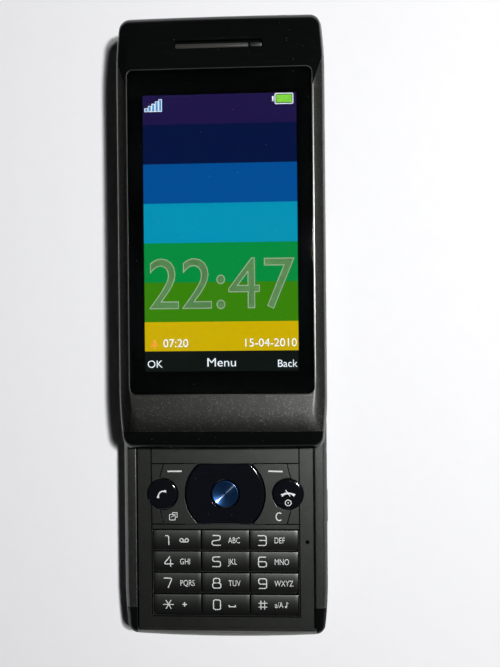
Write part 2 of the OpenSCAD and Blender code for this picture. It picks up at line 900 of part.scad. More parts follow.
// What the window, the display and the rest leave free inside the front shell
module slide_inside() {
    rounded_slab(slide_y, window_w + 2 * pocket_fit, window_l + 2 * pocket_fit,
        window_r + pocket_fit, glass_z, FAR);
    slab(inner_x, slide_y - inner_l / 2, slide_y + inner_l / 2, 0, glass_z - roof_t);
    slab(lcd_w / 2 - lcd_step + fit, slide_y - lcd_l / 2 + lcd_step - fit,
        slide_y + lcd_l / 2 - lcd_step + fit, 0, FAR);
}

module slide_frame() {
    color("#3d4043") difference() {
        slide_form();
        slab(body_w, -FAR, FAR, 0, frame_z);
        slide_inside();
        cap_region(-seam);
        lip_region(-seam);
    }
}

module top_cap() {
    color("#0b0c0e") difference() {
        intersection() {
            slide_form();
            cap_region(0);
        }
        slide_inside();
        block([ear_x - seam, ear_slot_y - ear_w / 2 - seam, 0],
            [ear_x + ear_l + seam, ear_slot_y + ear_w / 2 + seam, FAR]);
    }
}

module lower_lip() {
    color("#0b0c0e") difference() {
        intersection() {
            slide_form();
            lip_region(0);
        }
        slide_inside();
    }
}

// The bright trim between the back cover and the front shell
module slide_trim() {
    color("#9a9da0") translate([0, slide_y, trim_z]) linear_extrude(trim_t) difference() {
        polygon(outline(body_w, body_l, slide_bow_r));
        square([2 * inner_x, inner_l], center = true);
    }
}

module display_window() {
    color("#0a0b0d") rounded_slab(slide_y, window_w, window_l, window_r, glass_z, body_t);
}

module display_module() {
    color("#15306a") {
        slab(lcd_w / 2 - lcd_step, slide_y - lcd_l / 2 + lcd_step,
            slide_y + lcd_l / 2 - lcd_step, lcd_z, lcd_z + lcd_t);
        slab(lcd_w / 2, slide_y - lcd_l / 2, slide_y + lcd_l / 2, lcd_z,
            lcd_z + lcd_t - lcd_rim_t);
    }
}

module display_tray() {
    color("#b2b5b8") difference() {
        slab(lcd_w / 2 + tray_t + seam, slide_y - lcd_l / 2 - tray_t - seam,
            slide_y + lcd_l / 2 + tray_t + seam, tray_z, tray_z + tray_h);
        slab(lcd_w / 2 + seam, slide_y - lcd_l / 2 - seam, slide_y + lcd_l / 2 + seam,
            tray_z + tray_t, FAR);
    }
}

module earpiece() {
    color("#3c3f42") translate([-ear_size[0] / 2, ear_slot_y + ear_over - ear_size[1],
        glass_z - roof_t - seam - ear_size[2]]) cube(ear_size);
}

module earpiece_grille() {
    color("#5a5d60") difference() {
        block([ear_x, ear_slot_y - ear_w / 2, glass_z - roof_t],
            [ear_end, ear_slot_y + ear_w / 2, face_z - ear_sunk]);
        for (x = [ear_x + ear_pitch:ear_pitch:ear_end - ear_pitch / 2])
            translate([x, ear_slot_y, 0])
                slab(ear_hole / 2, -ear_hole / 2, ear_hole / 2, 0, FAR);
    }
}

module sensor_window() {
    color("#20242a") block([ear_x + ear_l - sensor_l, ear_slot_y - ear_w / 2,
        glass_z - roof_t], [ear_x + ear_l, ear_slot_y + ear_w / 2, face_z - fit]);
}

module slide_back() {
    color("#1c1d1f") difference() {
        translate([0, slide_y, slide_z]) linear_extrude(back_t)
            polygon(outline(body_w - 2 * back_inset, body_l - 2 * back_inset, slide_bow_r));
        slab(carriage_x + seam, blade_y0 - carriage_lip - seam, blade_y1 + carriage_lip + seam,
            0, slide_z + carriage_t + seam);
        at_each(CARRIAGE_SCREWS, screw_r + bore_fit, 0, FAR);
    }
}

module slide_carriage() {
    color("#8f9294") difference() {
        union() {
            slab(carriage_x, blade_y0 - carriage_lip, blade_y1 + carriage_lip, slide_z,
                slide_z + carriage_t);
            for (s = [-1, 1]) on_side(s) {
                block([blade_x - blade_t, blade_y0, foot_z],
                    [blade_x, blade_y1, slide_z + carriage_t]);
                block([foot_x, blade_y0, foot_z], [blade_x, blade_y1, foot_z + foot_t]);
            }
        }
        at_each(CARRIAGE_SCREWS, screw_r + bore_fit, 0, FAR);
        slab(carriage_cut[0] / 2, -carriage_cut[1] / 2, carriage_cut[1] / 2, 0, FAR);
    }
}

module slide_screws() {
    color("#707376") at_each(CARRIAGE_SCREWS, screw_r, slide_z + seam, trim_z - seam);
}

base_shell();
middle_frame();
keypad_deck();
base_rim();
end_caps();
slide_plate();
main_board();
shield_cans();
keypad_board();
keypad_mat();
battery();
card_holders();
camera_module();
camera_ring();
camera_window();
flash_lamp();
loudspeaker();
speaker_grille();
vibration_motor();
vibration_weight();
microphone();
antenna();
side_socket();
housing_screws();
battery_cover();
nav_actuator();
nav_ring();
select_key();
call_key();
end_key();
soft_rocker_left();
soft_rocker_right();
key_1();
key_2();
key_3();
key_4();
key_5();
key_6();
key_7();
key_8();
key_9();
key_star();
key_0();
key_hash();
volume_key();
shutter_key();
slide_frame();
top_cap();
lower_lip();
slide_trim();
display_window();
display_module();
display_tray();
earpiece();
earpiece_grille();
sensor_window();
slide_back();
slide_carriage();
slide_screws();
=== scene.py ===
"""Looks of an open slider phone lying on its back.

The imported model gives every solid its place. This script dresses it: the two shells, the glass
with its lit picture, the keys with their legends, the back and the sides. Shapes are worked out
as whole numpy arrays in millimetres and put into meshes in metres.
"""

from __future__ import annotations

import logging
import math
from collections.abc import Callable, Iterator, Sequence
from contextlib import contextmanager
from dataclasses import dataclass, replace
from enum import Enum
from typing import Any

import bmesh
import bpy
import numpy as np
from mathutils import Matrix, Vector
from numpy.typing import NDArray


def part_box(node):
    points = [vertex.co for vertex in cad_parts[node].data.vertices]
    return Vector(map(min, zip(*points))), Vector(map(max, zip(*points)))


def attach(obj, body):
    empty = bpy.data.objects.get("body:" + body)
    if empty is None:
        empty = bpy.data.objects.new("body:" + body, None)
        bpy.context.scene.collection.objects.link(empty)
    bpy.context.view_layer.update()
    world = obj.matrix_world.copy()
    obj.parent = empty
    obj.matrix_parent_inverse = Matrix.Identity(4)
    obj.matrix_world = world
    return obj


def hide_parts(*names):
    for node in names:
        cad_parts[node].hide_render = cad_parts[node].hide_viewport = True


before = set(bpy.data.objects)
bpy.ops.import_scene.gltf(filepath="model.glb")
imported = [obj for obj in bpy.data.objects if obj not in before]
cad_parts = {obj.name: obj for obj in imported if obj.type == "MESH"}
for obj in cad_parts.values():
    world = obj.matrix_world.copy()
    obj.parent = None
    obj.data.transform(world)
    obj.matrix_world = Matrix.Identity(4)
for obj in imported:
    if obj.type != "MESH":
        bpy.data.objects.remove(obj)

Array = NDArray[np.float64]
Point = tuple[float, float]
Place = tuple[float, float, float]
Colour = tuple[float, float, float]
LOG = logging.getLogger("slider_phone")
MM = 0.001
FULL_TURN = 2 * math.pi
QUARTER_TURN = math.pi / 2
BEYOND = 60.0  # a distance from the middle, in millimetres, past both long sides
ABOVE, BELOW = 20.0, -5.0  # heights over and under the whole phone
PAST = 5.0  # how far a cutter runs past what it cuts
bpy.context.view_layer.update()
BASE = "base"
DISPLAY = "display_half"


class Slot(Enum):
    """Material slot names that each new piece is listed with; nothing in the script reads them."""

    HOUSING = "housing"
    DECK = "deck"
    FLAKE = "flake_paint"
    GLOSS = "piano_black"
    TRIM = "bright_trim"
    DARK_STEEL = "dark_steel"
    NUMBER_KEYS = "number_keys"
    SIDE_KEYS = "side_keys"
    SELECT = "select_metal"
    GLASS = "glass"
    LENS = "lens_glass"
    DISPLAY = "display"
    RING = "ring_metal"
    PLASTIC = "black_plastic"


class Carve(Enum):
    """What a cutter does to the solid that it meets."""

    AWAY = "DIFFERENCE"
    KEEP = "INTERSECT"


def srgb(red: int, green: int, blue: int) -> Colour:
    """Turns a colour as seen on a screen into the linear values that shaders take.

    Args:
        red: Red from 0 to 255.
        green: Green from 0 to 255.
        blue: Blue from 0 to 255.

    Returns:
        The three linear values.
    """
    parts = [c / 255 for c in (red, green, blue)]
    low, mid, high = (p / 12.92 if p <= 0.04045 else ((p + 0.055) / 1.055) ** 2.4 for p in parts)
    return low, mid, high


# ---------------------------------------------------------------- shaders


def math_node(operation: str, turned: bool = False) -> Callable[..., "Wire"]:
    """Gives a method that adds a Math node, with its inputs turned round where asked."""

    def method(wire: "Wire", *others: "Wire | float") -> "Wire":
        """Returns the node's result: 1 or 0 where the node compares."""
        values = (*others, wire) if turned else (wire, *others)
        return wire.maths(operation, *values)

    return method


@dataclass(frozen=True)
class Wire:
    """A shader socket on which arithmetic and comparison add Math nodes."""

    graph: "Graph"
    socket: bpy.types.NodeSocket

    __add__ = math_node("ADD")
    __sub__ = math_node("SUBTRACT")
    __rsub__ = math_node("SUBTRACT", turned=True)
    __mul__ = math_node("MULTIPLY")
    __truediv__ = math_node("DIVIDE")
    __pow__ = math_node("POWER")
    __gt__ = math_node("GREATER_THAN")
    __lt__ = math_node("LESS_THAN")
    __abs__ = math_node("ABSOLUTE")
    root = math_node("SQRT")

    def maths(self, operation: str, *values: "Wire | float") -> "Wire":
        """Adds one Math node on these inputs and returns its result."""
        made = self.graph.node("ShaderNodeMath", {"operation": operation}, *values)
        return Wire(self.graph, made.outputs[0])

    def wave(self, pitch: float, operation: str = "SINE") -> "Wire":
        """Returns the sine or cosine of a value that comes round once in a pitch."""
        return self.maths(operation, self * (FULL_TURN / pitch))

    def band(self, low: float, high: float) -> "Wire":
        """Returns a smooth step that climbs from 0 at low to 1 at high."""
        made = self.graph.node("ShaderNodeMapRange", {"interpolation_type": "SMOOTHSTEP"},
                               self, low, high, 0.0, 1.0)
        return Wire(self.graph, made.outputs[0])


class Graph:
    """The node tree of one material, with a principled shader at its end."""

    def __init__(self, name: str) -> None:
        """Makes an empty material of that name."""
        self.material = bpy.data.materials.new(name)
        self.material.use_nodes = True
        self.nodes = self.material.node_tree.nodes
        self.links = self.material.node_tree.links
        self.nodes.clear()
        self.shader = self.nodes.new("ShaderNodeBsdfPrincipled")
        end = self.nodes.new("ShaderNodeOutputMaterial")
        self.links.new(self.shader.outputs[0], end.inputs["Surface"])

    def node(self, kind: str, settings: dict[str, Any], *values: Any, **named: Any) -> Any:
        """Adds a node.

        Args:
            kind: The node's type.
            settings: Properties that are set before its sockets.
            values: Values or links of its first sockets, in order.
            named: Values or links of sockets by name, with _ for a space.

        Returns:
            The new node.
        """
        made = self.nodes.new(kind)
        for key, value in settings.items():
            setattr(made, key, value)
        pairs = list(zip(made.inputs, values))
        pairs += [(made.inputs[key.replace("_", " ")], value) for key, value in named.items()]
        for socket, value in pairs:
            self.feed(socket, value)
        return made

    def feed(self, socket: bpy.types.NodeSocket, value: Any) -> None:
        """Gives a socket a value, or a link where the value is a wire."""
        if isinstance(value, Wire):
            self.links.new(value.socket, socket)
        elif isinstance(value, tuple) and len(value) == 3 and socket.type == "RGBA":
            socket.default_value = (*value, 1.0)
        else:
            socket.default_value = value

    def surface(self, **named: Any) -> None:
        """Feeds sockets of the principled shader, named with _ for a space."""
        for key, value in named.items():
            self.feed(self.shader.inputs[key.replace("_", " ")], value)

    def place(self, centre: Place = (0, 0, 0), turn: float = 0.0,
              stretch: Place = (1, 1, 1)) -> Wire:
        """Gives object coordinates in millimetres from a centre.

        Args:
            centre: The centre in millimetres.
            turn: Turn about the upright axis in degrees.
            stretch: Factors along the three axes.

        Returns:
            The coordinates as a vector.
        """
        raw = self.node("ShaderNodeTexCoord", {}).outputs["Object"]
        scaled = self.node("ShaderNodeVectorMath", {"operation": "MULTIPLY_ADD"}, Wire(self, raw),
                           (1 / MM,) * 3, tuple(-c for c in centre))
        mapped = self.node("ShaderNodeMapping", {}, Wire(self, scaled.outputs[0]),
                           Rotation=(0, 0, math.radians(turn)), Scale=stretch)
        return Wire(self, mapped.outputs[0])

    def axes(self, vector: Wire) -> tuple[Wire, Wire, Wire]:
        """Splits a vector into its three parts."""
        made = self.node("ShaderNodeSeparateXYZ", {}, vector)
        across, along, up = (Wire(self, made.outputs[i]) for i in range(3))
        return across, along, up

    def noise(self, vector: Wire, grain: float, detail: float = 3.0) -> Wire:
        """Gives soft noise whose bumps are about grain millimetres wide."""
        made = self.node("ShaderNodeTexNoise", {}, Vector=vector, Scale=1 / grain, Detail=detail)
        return Wire(self, made.outputs[0])

    def cells(self, grain: float) -> tuple[Wire, Wire]:
        """Gives a random value and a distance for each cell about grain wide."""
        made = self.node("ShaderNodeTexVoronoi", {}, Vector=self.place(), Scale=1 / grain)
        chance = self.axes(Wire(self, made.outputs["Color"]))[0]
        return chance, Wire(self, made.outputs["Distance"])

    def specks(self, grain: float, share: float, core: float, edge: float) -> Wire:
        """Gives rare round specks.

        Args:
            grain: Width of the cells that may hold one.
            share: Part of the cells that stay empty.
            core: Radius of the full part of a speck, in cells.
            edge: Radius at which it has faded out, in cells.

        Returns:
            1 in the specks and 0 outside.
        """
        chance, distance = self.cells(grain)
        return (chance > share) * (1 - distance.band(core, edge))

    def mix(self, factor: Wire, low: Any, high: Any) -> Wire:
        """Blends two colours."""
        made = self.node("ShaderNodeMix", {"data_type": "RGBA"})
        for socket, value in zip((made.inputs[0], made.inputs[6], made.inputs[7]),
                                 (factor, low, high)):
            self.feed(socket, value)
        return Wire(self, made.outputs[2])

    def bump(self, height: Wire, depth: float) -> Wire:
        """Gives a normal raised by a height of depth millimetres."""
        made = self.node("ShaderNodeBump", {}, Height=height, Distance=depth * MM, Strength=1.0)
        return Wire(self, made.outputs[0])


@dataclass(frozen=True)
class Finish:
    """A moulded or painted surface with fine grain and a cloudy tone."""

    name: str
    colour: Colour
    roughness: float = 0.5
    grain: float = 0.25
    depth: float = 0.012
    cloud: float = 0.12
    metallic: float = 0.0
    coat: float = 0.0
    ior: float = 1.45
    cloud_size: float = 3.5
    gloss_spread: float = 0.16

    def shaded(self, factor: float) -> Colour:
        """Returns the colour at a factor of its brightness, held below white."""
        red, green, blue = (min(1.0, c * factor) for c in self.colour)
        return red, green, blue

    def tone(self, graph: Graph) -> Wire:
        """Returns the base colour with cloudy variation."""
        return graph.mix(graph.noise(graph.place(), self.cloud_size),
                         self.shaded(1 - self.cloud), self.shaded(1 + self.cloud))

    def shade(self, graph: Graph) -> None:
        """Wires the shader: one fine noise raises the surface and varies its gloss."""
        fine = graph.noise(graph.place(), self.grain, 2.0)
        graph.surface(
            Base_Color=self.tone(graph), Metallic=self.metallic, IOR=self.ior,
            Roughness=fine * self.gloss_spread + (self.roughness - self.gloss_spread / 2),
            Coat_Weight=self.coat, Coat_Roughness=0.08, Normal=graph.bump(fine, self.depth),
        )

    def material(self) -> bpy.types.Material:
        """Builds the material and returns it."""
        graph = Graph(self.name)
        self.shade(graph)
        return graph.material


@dataclass(frozen=True)
class FlakePaint(Finish):
    """Dark paint with small bright metal flakes in it."""

    flake: Colour = (0.2, 0.2, 0.2)
    share: float = 0.84
    size: float = 0.2
    reach: Point = (0.2, 0.6)
    dulling: float = 0.1

    def shade(self, graph: Graph) -> None:
        """Wires the shader: cells above a share of chance show a flake."""
        chance, distance = graph.cells(self.size)
        lit = chance.band(self.share, 1.0) * (1 - distance.band(*self.reach))
        graph.surface(
            Base_Color=graph.mix(lit, self.tone(graph), self.flake), IOR=self.ior,
            Metallic=self.metallic, Roughness=lit * self.dulling + self.roughness,
            Normal=graph.bump(graph.noise(graph.place(), self.grain), self.depth),
        )


@dataclass(frozen=True)
class Lacquer(Finish):
    """Deep gloss with hairline scratches and a little dust."""

    dust: Colour = (0.16, 0.16, 0.15)
    dust_share: float = 0.7
    hair_share: float = 0.04
    hair_turn: float = 33.0

    def shade(self, graph: Graph) -> None:
        """Wires the shader: rare small cells hold dust, long noise makes hairlines."""
        speck = graph.specks(0.8, 0.94, 0.05, 0.12)
        long_way = graph.place(turn=self.hair_turn, stretch=(0.08, 6, 1))
        hair = graph.noise(long_way, 1.2).band(0.66, 0.72)
        smear = graph.noise(graph.place(), 9.0).band(0.35, 0.75)
        dirt = speck * self.dust_share + hair * self.hair_share
        graph.surface(
            Base_Color=graph.mix(dirt, self.tone(graph), self.dust), IOR=self.ior,
            Roughness=smear * 0.05 + speck * 0.4 + self.roughness,
            Coat_Weight=self.coat, Coat_Roughness=0.04, Metallic=self.metallic,
        )


@dataclass(frozen=True)
class Brushed(Finish):
    """Metal with fine brush lines."""

    turn: float = 0.0
    line_stretch: Place = (0.04, 5, 5)
    line_size: float = 0.6

    def shade(self, graph: Graph) -> None:
        """Wires the shader: noise drawn out along the lines raises and dulls it."""
        lines = graph.noise(graph.place(turn=self.turn, stretch=self.line_stretch),
                            self.line_size)
        graph.surface(
            Base_Color=graph.mix(lines, self.shaded(0.75), self.colour), IOR=self.ior,
            Metallic=self.metallic, Roughness=lines * 0.25 + (self.roughness - 0.12),
            Normal=graph.bump(lines, self.depth),
        )


@dataclass(frozen=True)
class Spun(Finish):
    """Metal turned on a lathe, with fine rings round a centre and a bright double fan painted into
    its colour as a highlight, over a body painted darker.
    """

    centre: Place = (0.0, 0.0, 0.0)
    # turn of the painted highlight fan, in degrees
    fan: float = 43.0
    # colour of the painted highlight in the middle of the fan
    bright: Colour = (0.7, 0.85, 1.0)
    radius: float = 3.3
    ring_pitch: float = 0.22
    glint_core_width: float = 0.2
    glint_spread_width: float = 0.75
    glint_spread_share: float = 0.42
    plain_edge: float = 0.86
    # brightness factor of the body, painted darker away from the fan
    body: float = 0.4

    def shade(self, graph: Graph) -> None:
        """Wires the shader: sine rings by radius, and two fans of painted highlight by the sine of
        the angle.
        """
        across, along, _ = graph.axes(graph.place(self.centre, -self.fan))
        far = (across ** 2 + along ** 2).root()
        ring = far.wave(self.ring_pitch) * 0.5 + 0.5
        off = abs(along) / (far + 0.02)
        # painted highlight: a thin fan of the bright colour and a broad fan of the full colour
        # over a darker painted body, in place of light reflected along the rings
        glint_core = (1 - off.band(0.0, self.glint_core_width)) ** 2
        wide = (1 - off.band(0.0, self.glint_spread_width)) * self.glint_spread_share
        inner = 1 - far.band(self.radius * self.plain_edge, self.radius)
        body = graph.mix(wide * inner, self.shaded(self.body), self.colour)
        graph.surface(
            Base_Color=graph.mix(glint_core * inner, body, self.bright), Metallic=self.metallic,
            Roughness=ring * 0.1 + self.roughness, Normal=graph.bump(ring, self.depth),
        )


@dataclass(frozen=True)
class ClearGlass(Finish):
    """Clear or tinted glass with faint smears and a few specks of dust."""

    dust: Colour = srgb(120, 120, 118)

    def shade(self, graph: Graph) -> None:
        """Wires the shader: specks and smears dull the clear glass."""
        speck = graph.specks(1.1, 0.95, 0.04, 0.09)
        smear = graph.noise(graph.place(), 7.0).band(0.45, 0.8)
        graph.surface(
            Base_Color=graph.mix(speck, self.colour, self.dust), IOR=self.ior,
            Roughness=smear * 0.02 + speck * 0.5 + self.roughness, Transmission_Weight=1.0,
        )


@dataclass(frozen=True)
class LitStripes(Finish):
    """The lit picture of a colour display: even stripes over a dark key bar."""

    stripes: tuple[Colour, ...] = ()
    first_edge: float = 0.0
    pitch: float = 1.0
    bar_edge: float = 0.0
    bar: Colour = srgb(18, 24, 22)
    pixel: float = 0.2
    dimming: float = 0.05

    def shade(self, graph: Graph) -> None:
        """Wires the shader: the stripe is the count of edges passed on the way down."""
        across, along, _ = graph.axes(graph.place())
        tone: Any = self.stripes[0]
        for i, colour in enumerate(self.stripes[1:]):
            tone = graph.mix(along < self.first_edge - i * self.pitch, tone, colour)
        tone = graph.mix(along < self.bar_edge, tone, self.bar)
        dim = along.wave(self.pixel) * self.dimming + across.wave(self.pixel) * self.dimming
        glow = graph.mix(dim + 2 * self.dimming, tone, (0.0, 0.0, 0.0))
        graph.surface(Base_Color=self.colour, Roughness=self.roughness, IOR=self.ior,
                      Emission_Color=glow, Emission_Strength=1.0)


@dataclass(frozen=True)
class Ink(Finish):
    """Printed or lit marks whose edges are a little worn."""

    glow: float = 0.0

    def shade(self, graph: Graph) -> None:
        """Wires the shader: soft noise wears the tone."""
        worn = graph.noise(graph.place(), 0.3).band(0.2, 0.6)
        tone = graph.mix(worn, self.shaded(0.82), self.colour)
        graph.surface(Base_Color=tone, Roughness=self.roughness, Emission_Color=tone,
                      Emission_Strength=self.glow)


@dataclass(frozen=True)
class Perforated(Finish):
    """A sheet with rows of small dark holes."""

    pitch: float = 0.8
    hole: Colour = (0.004, 0.004, 0.004)
    hole_depth: float = 0.15

    def shade(self, graph: Graph) -> None:
        """Wires the shader: holes sit where a sine and a cosine are both high."""
        across, along, _ = graph.axes(graph.place())
        hole = (across.wave(self.pitch) + along.wave(self.pitch, "COSINE")).band(0.7, 1.1)
        graph.surface(
            Base_Color=graph.mix(hole, self.tone(graph), self.hole),
            Metallic=self.metallic, Roughness=hole * 0.2 + self.roughness,
            Normal=graph.bump(1 - hole, self.hole_depth),
        )


@dataclass(frozen=True)
class Circuit(Finish):
    """A board with copper tracks under its lacquer."""

    track: Colour = (0.014, 0.03, 0.02)
    track_scale: float = 0.35
    track_width: float = 0.03

    def shade(self, graph: Graph) -> None:
        """Wires the shader: the joints of a brick pattern draw the tracks."""
        made = graph.node("ShaderNodeTexBrick", {"offset": 0.5}, Vector=graph.place(),
                          Scale=self.track_scale, Mortar_Size=self.track_width)
        line = Wire(graph, made.outputs["Fac"])
        graph.surface(Base_Color=graph.mix(line, self.tone(graph), self.track),
                      Roughness=self.roughness, Normal=graph.bump(line, 0.03))


# ---------------------------------------------------------------- meshes


def box_mm(node: str) -> tuple[Array, Array]:
    """Gives the corners of a CAD node's box in millimetres."""
    low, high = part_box(node)
    return np.array(low) / MM, np.array(high) / MM


def round_mm(node: str) -> tuple[Array, float]:
    """Gives the middle of a round CAD node and its radius, in millimetres."""
    low, high = box_mm(node)
    return (low + high) / 2, (high[0] - low[0]) / 2


def link(name: str, data: bpy.types.ID) -> bpy.types.Object:
    """Makes an object of some data and links it into the scene."""
    made = bpy.data.objects.new(name, data)
    bpy.context.scene.collection.objects.link(made)
    return made


def settled(piece: bpy.types.Object) -> bpy.types.Mesh:
    """Gives a new mesh of an object with its modifiers or its lettering worked out."""
    return bpy.data.meshes.new_from_object(
        piece.evaluated_get(bpy.context.evaluated_depsgraph_get()))


@contextmanager
def editing(mesh: bpy.types.Mesh) -> Iterator[bmesh.types.BMesh]:
    """Opens a mesh for editing, and writes it back at the end of the block."""
    work = bmesh.new()
    work.from_mesh(mesh)
    yield work
    work.to_mesh(mesh)
    work.free()


def quads(rows: int, columns: int, wrap: bool) -> Array:
    """Numbers the faces of a grid of points.

    Args:
        rows: Number of rows.
        columns: Number of points in each row.
        wrap: Whether the last column joins the first.

    Returns:
        Four point numbers for each face: a point, its neighbour in the row, and the two above.
    """
    start = np.arange(rows - 1)[:, None] * columns
    here = np.arange(columns if wrap else columns - 1)[None, :]
    there = (here + 1) % columns
    corners = [start + here, start + there, start + columns + there, start + columns + here]
    return np.stack(corners, -1).reshape(-1, 4)


def put(name: str, points: Array, faces: Any, sharp: float = 30.0) -> bpy.types.Object:
    """Makes an object of points in millimetres.

    Args:
        name: Name of the object.
        points: Points, with their three coordinates last.
        faces: Point numbers of each face.
        sharp: Angle in degrees above which an edge is drawn sharp.

    Returns:
        The new object at the origin.
    """
    mesh = bpy.data.meshes.new(name)
    listed = faces.tolist() if isinstance(faces, np.ndarray) else list(faces)
    mesh.from_pydata((points.reshape(-1, 3) * MM).tolist(), [], listed)
    mesh.shade_smooth()
    mesh.set_sharp_from_angle(angle=math.radians(sharp))
    return link(name, mesh)


def tube(name: str, rings: Array, sharp: float = 30.0) -> bpy.types.Object:
    """Joins closed rings of points, the last one back to the first, into a shell."""
    rows, columns, _ = rings.shape
    return put(name, rings, quads(rows + 1, columns, True) % (rows * columns), sharp)


def sheet(name: str, low: Sequence[float], high: Sequence[float],
          height: float) -> bpy.types.Object:
    """Makes a flat rectangle of one face between two corners."""
    corners = [(low[0], low[1]), (high[0], low[1]), (high[0], high[1]), (low[0], high[1])]
    return put(name, np.array([(x, y, height) for x, y in corners]), [[0, 1, 2, 3]])


def skin(name: str, rings: Array, high: bool = True, sharp: float = 30.0) -> bpy.types.Object:
    """Joins closed rings of points, from the lowest up, into a shell with a closed foot.

    Args:
        name: Name of the object.
        rings: Rings of points that run anticlockwise seen from above.
        high: Whether a face closes the last ring.
        sharp: Angle in degrees above which an edge is drawn sharp.

    Returns:
        The new object.
    """
    rows, columns, _ = rings.shape
    faces = quads(rows, columns, True).tolist()
    faces.append(list(range(columns))[::-1])
    if high:
        faces.append(list(range((rows - 1) * columns, rows * columns)))
    return put(name, rings, faces, sharp)


def softened(corners: Sequence[Sequence[float]], rounds: int = 3) -> Array:
    """Rounds a row of corners by cutting each at a quarter of its sides, again and again."""
    line = np.array(corners, float)
    for _ in range(rounds):
        near = line[:-1] * 0.75 + line[1:] * 0.25
        far = line[:-1] * 0.25 + line[1:] * 0.75
        line = np.concatenate([line[:1], np.stack([near, far], 1).reshape(-1, line.shape[1]),
                               line[-1:]])
    return line


def body_rings(insets: Array, wide: float, long: float, bow: float, middle: float,
               corner: float = 2.5, sweep: float = 90.0, turn: float = 7.0) -> Array:
    """Lays the outline of a half of the phone at every height of a profile.

    A quarter of the outline is a straight side, an arc of radius sweep through turn degrees
    that draws the side in, a corner arc, and a shallow arc of radius bow across the end.
    The other three quarters mirror it.

    Args:
        insets: Rows of side inset, end inset and height.
        wide: Width of the half.
        long: Length of the half.
        bow: Radius of the bow of its ends.
        middle: Place of its middle along Y.
        corner: Radius of the corners.
        sweep: Radius of the long side curve.
        turn: Angle of that curve in degrees.

    Returns:
        Rings of points, one for each row of the profile.
    """
    half_w = (wide / 2 - insets[:, 0])[:, None]
    half_l = (long / 2 - insets[:, 1])[:, None]
    angle = math.radians(turn)
    arc_x = half_w - sweep + (sweep - corner) * math.cos(angle)
    bow_y = half_l - bow
    arc_y = bow_y + np.sqrt((bow - corner) ** 2 - arc_x ** 2)
    side_y = arc_y - (sweep - corner) * math.sin(angle)
    end = np.arctan2(arc_y - bow_y, arc_x)
    t = np.linspace(0, 1, 12)[None, :]
    first, second = angle * t, angle + (end - angle) * t[:, 1:]
    third = end + (QUARTER_TURN - end) * t[:, 1:]
    straight = np.linspace(0, 1, 8)[None, :-1]
    x = np.concatenate([half_w + 0 * straight, half_w - sweep + sweep * np.cos(first),
                        arc_x + corner * np.cos(second), bow * np.cos(third)], 1)
    y = np.concatenate([side_y * straight, side_y + sweep * np.sin(first),
                        arc_y + corner * np.sin(second), bow_y + bow * np.sin(third)], 1)
    x[:, -1] = 0
    x = np.concatenate([x, -x[:, -2::-1], -x[:, 1:], x[:, -2:0:-1]], 1)
    y = np.concatenate([y, y[:, -2::-1], -y[:, 1:], -y[:, -2:0:-1]], 1)
    z = np.broadcast_to(insets[:, 2:3], x.shape)
    return np.stack([x, y + middle, z], -1)


def rounded_rings(insets: Sequence[Sequence[float]], low: Sequence[float],
                  high: Sequence[float], radius: float) -> Array:
    """Lays a rounded rectangle at every height of a profile.

    Args:
        insets: Rows of inset and height.
        low: Lowest x and y of the rectangle.
        high: Highest x and y of the rectangle.
        radius: Radius of its corners, which shrinks with the inset.

    Returns:
        Rings of points: each corner is its centre plus the radius along an arc.
    """
    rows = np.array(insets, float)
    inset = rows[:, 0][:, None]
    arc = np.linspace(0, QUARTER_TURN, 10)[None, :]
    reach = np.maximum(radius - inset, 0.01)
    inner = inset + reach
    sides = [(high[0], high[1], 0), (low[0], high[1], 1), (low[0], low[1], 2),
             (high[0], low[1], 3)]
    x = [px + (-inner if q in (0, 3) else inner) + reach * np.cos(arc + q * QUARTER_TURN)
         for px, _, q in sides]
    y = [py + (-inner if q in (0, 1) else inner) + reach * np.sin(arc + q * QUARTER_TURN)
         for _, py, q in sides]
    flat_x, flat_y = np.concatenate(x, 1), np.concatenate(y, 1)
    return np.stack([flat_x, flat_y, np.broadcast_to(rows[:, 1:2], flat_x.shape)], -1)


def disc_rings(profile: Array, centre: Sequence[float]) -> Array:
    """Turns rows of radius and height about an upright axis through a centre."""
    around = np.linspace(0, FULL_TURN, 96, endpoint=False)[None, :]
    x = centre[0] + profile[:, :1] * np.cos(around)
    y = centre[1] + profile[:, :1] * np.sin(around)
    return np.stack([x, y, np.broadcast_to(profile[:, 1:2], x.shape)], -1)


def cutter(outline: Array, low: float, high: float) -> bpy.types.Object:
    """Makes a closed prism from an anticlockwise outline, to carve with."""
    ring = np.concatenate([outline, np.zeros((len(outline), 1))], 1)
    return skin("cutter", np.stack([ring + (0, 0, low), ring + (0, 0, high)]))


def rounded_cutter(low: Sequence[float], high: Sequence[float], gap: float, radius: float,
                   heights: Point) -> bpy.types.Object:
    """Makes a prism, from foot to head, that stands out by a gap round a rounded rectangle."""
    return cutter(rounded_rings([(-gap, 0.0)], low, high, radius)[0, :, :2], *heights)


def bar(low: Sequence[float], high: Sequence[float]) -> bpy.types.Object:
    """Makes a box from two corners, to carve with."""
    flat = np.array([[low[0], low[1]], [high[0], low[1]], [high[0], high[1]], [low[0], high[1]]])
    return cutter(flat, low[2], high[2])


def belt(half: float, along: Point, up: Point) -> bpy.types.Object:
    """Makes a box across the middle, from its half width and its ends along Y and Z."""
    return bar((-half, along[0], up[0]), (half, along[1], up[1]))


def pin(x: float, y: float, radius: float, low: float, high: float) -> bpy.types.Object:
    """Makes an upright rod, to carve with."""
    return cutter(disc_rings(np.array([[radius, 0.0]]), (x, y))[0, :, :2], low, high)


def carve(solid: bpy.types.Object, tool: bpy.types.Object, how: Carve = Carve.AWAY) -> None:
    """Cuts a solid with a tool, whose space is taken away or kept, and drops the tool."""
    step = solid.modifiers.new("carve", "BOOLEAN")
    step.operation, step.solver, step.object = how.value, "EXACT", tool
    cut = settled(solid)
    solid.modifiers.clear()
    old, solid.data = solid.data, cut
    bpy.data.meshes.remove(old)
    bpy.data.objects.remove(tool)


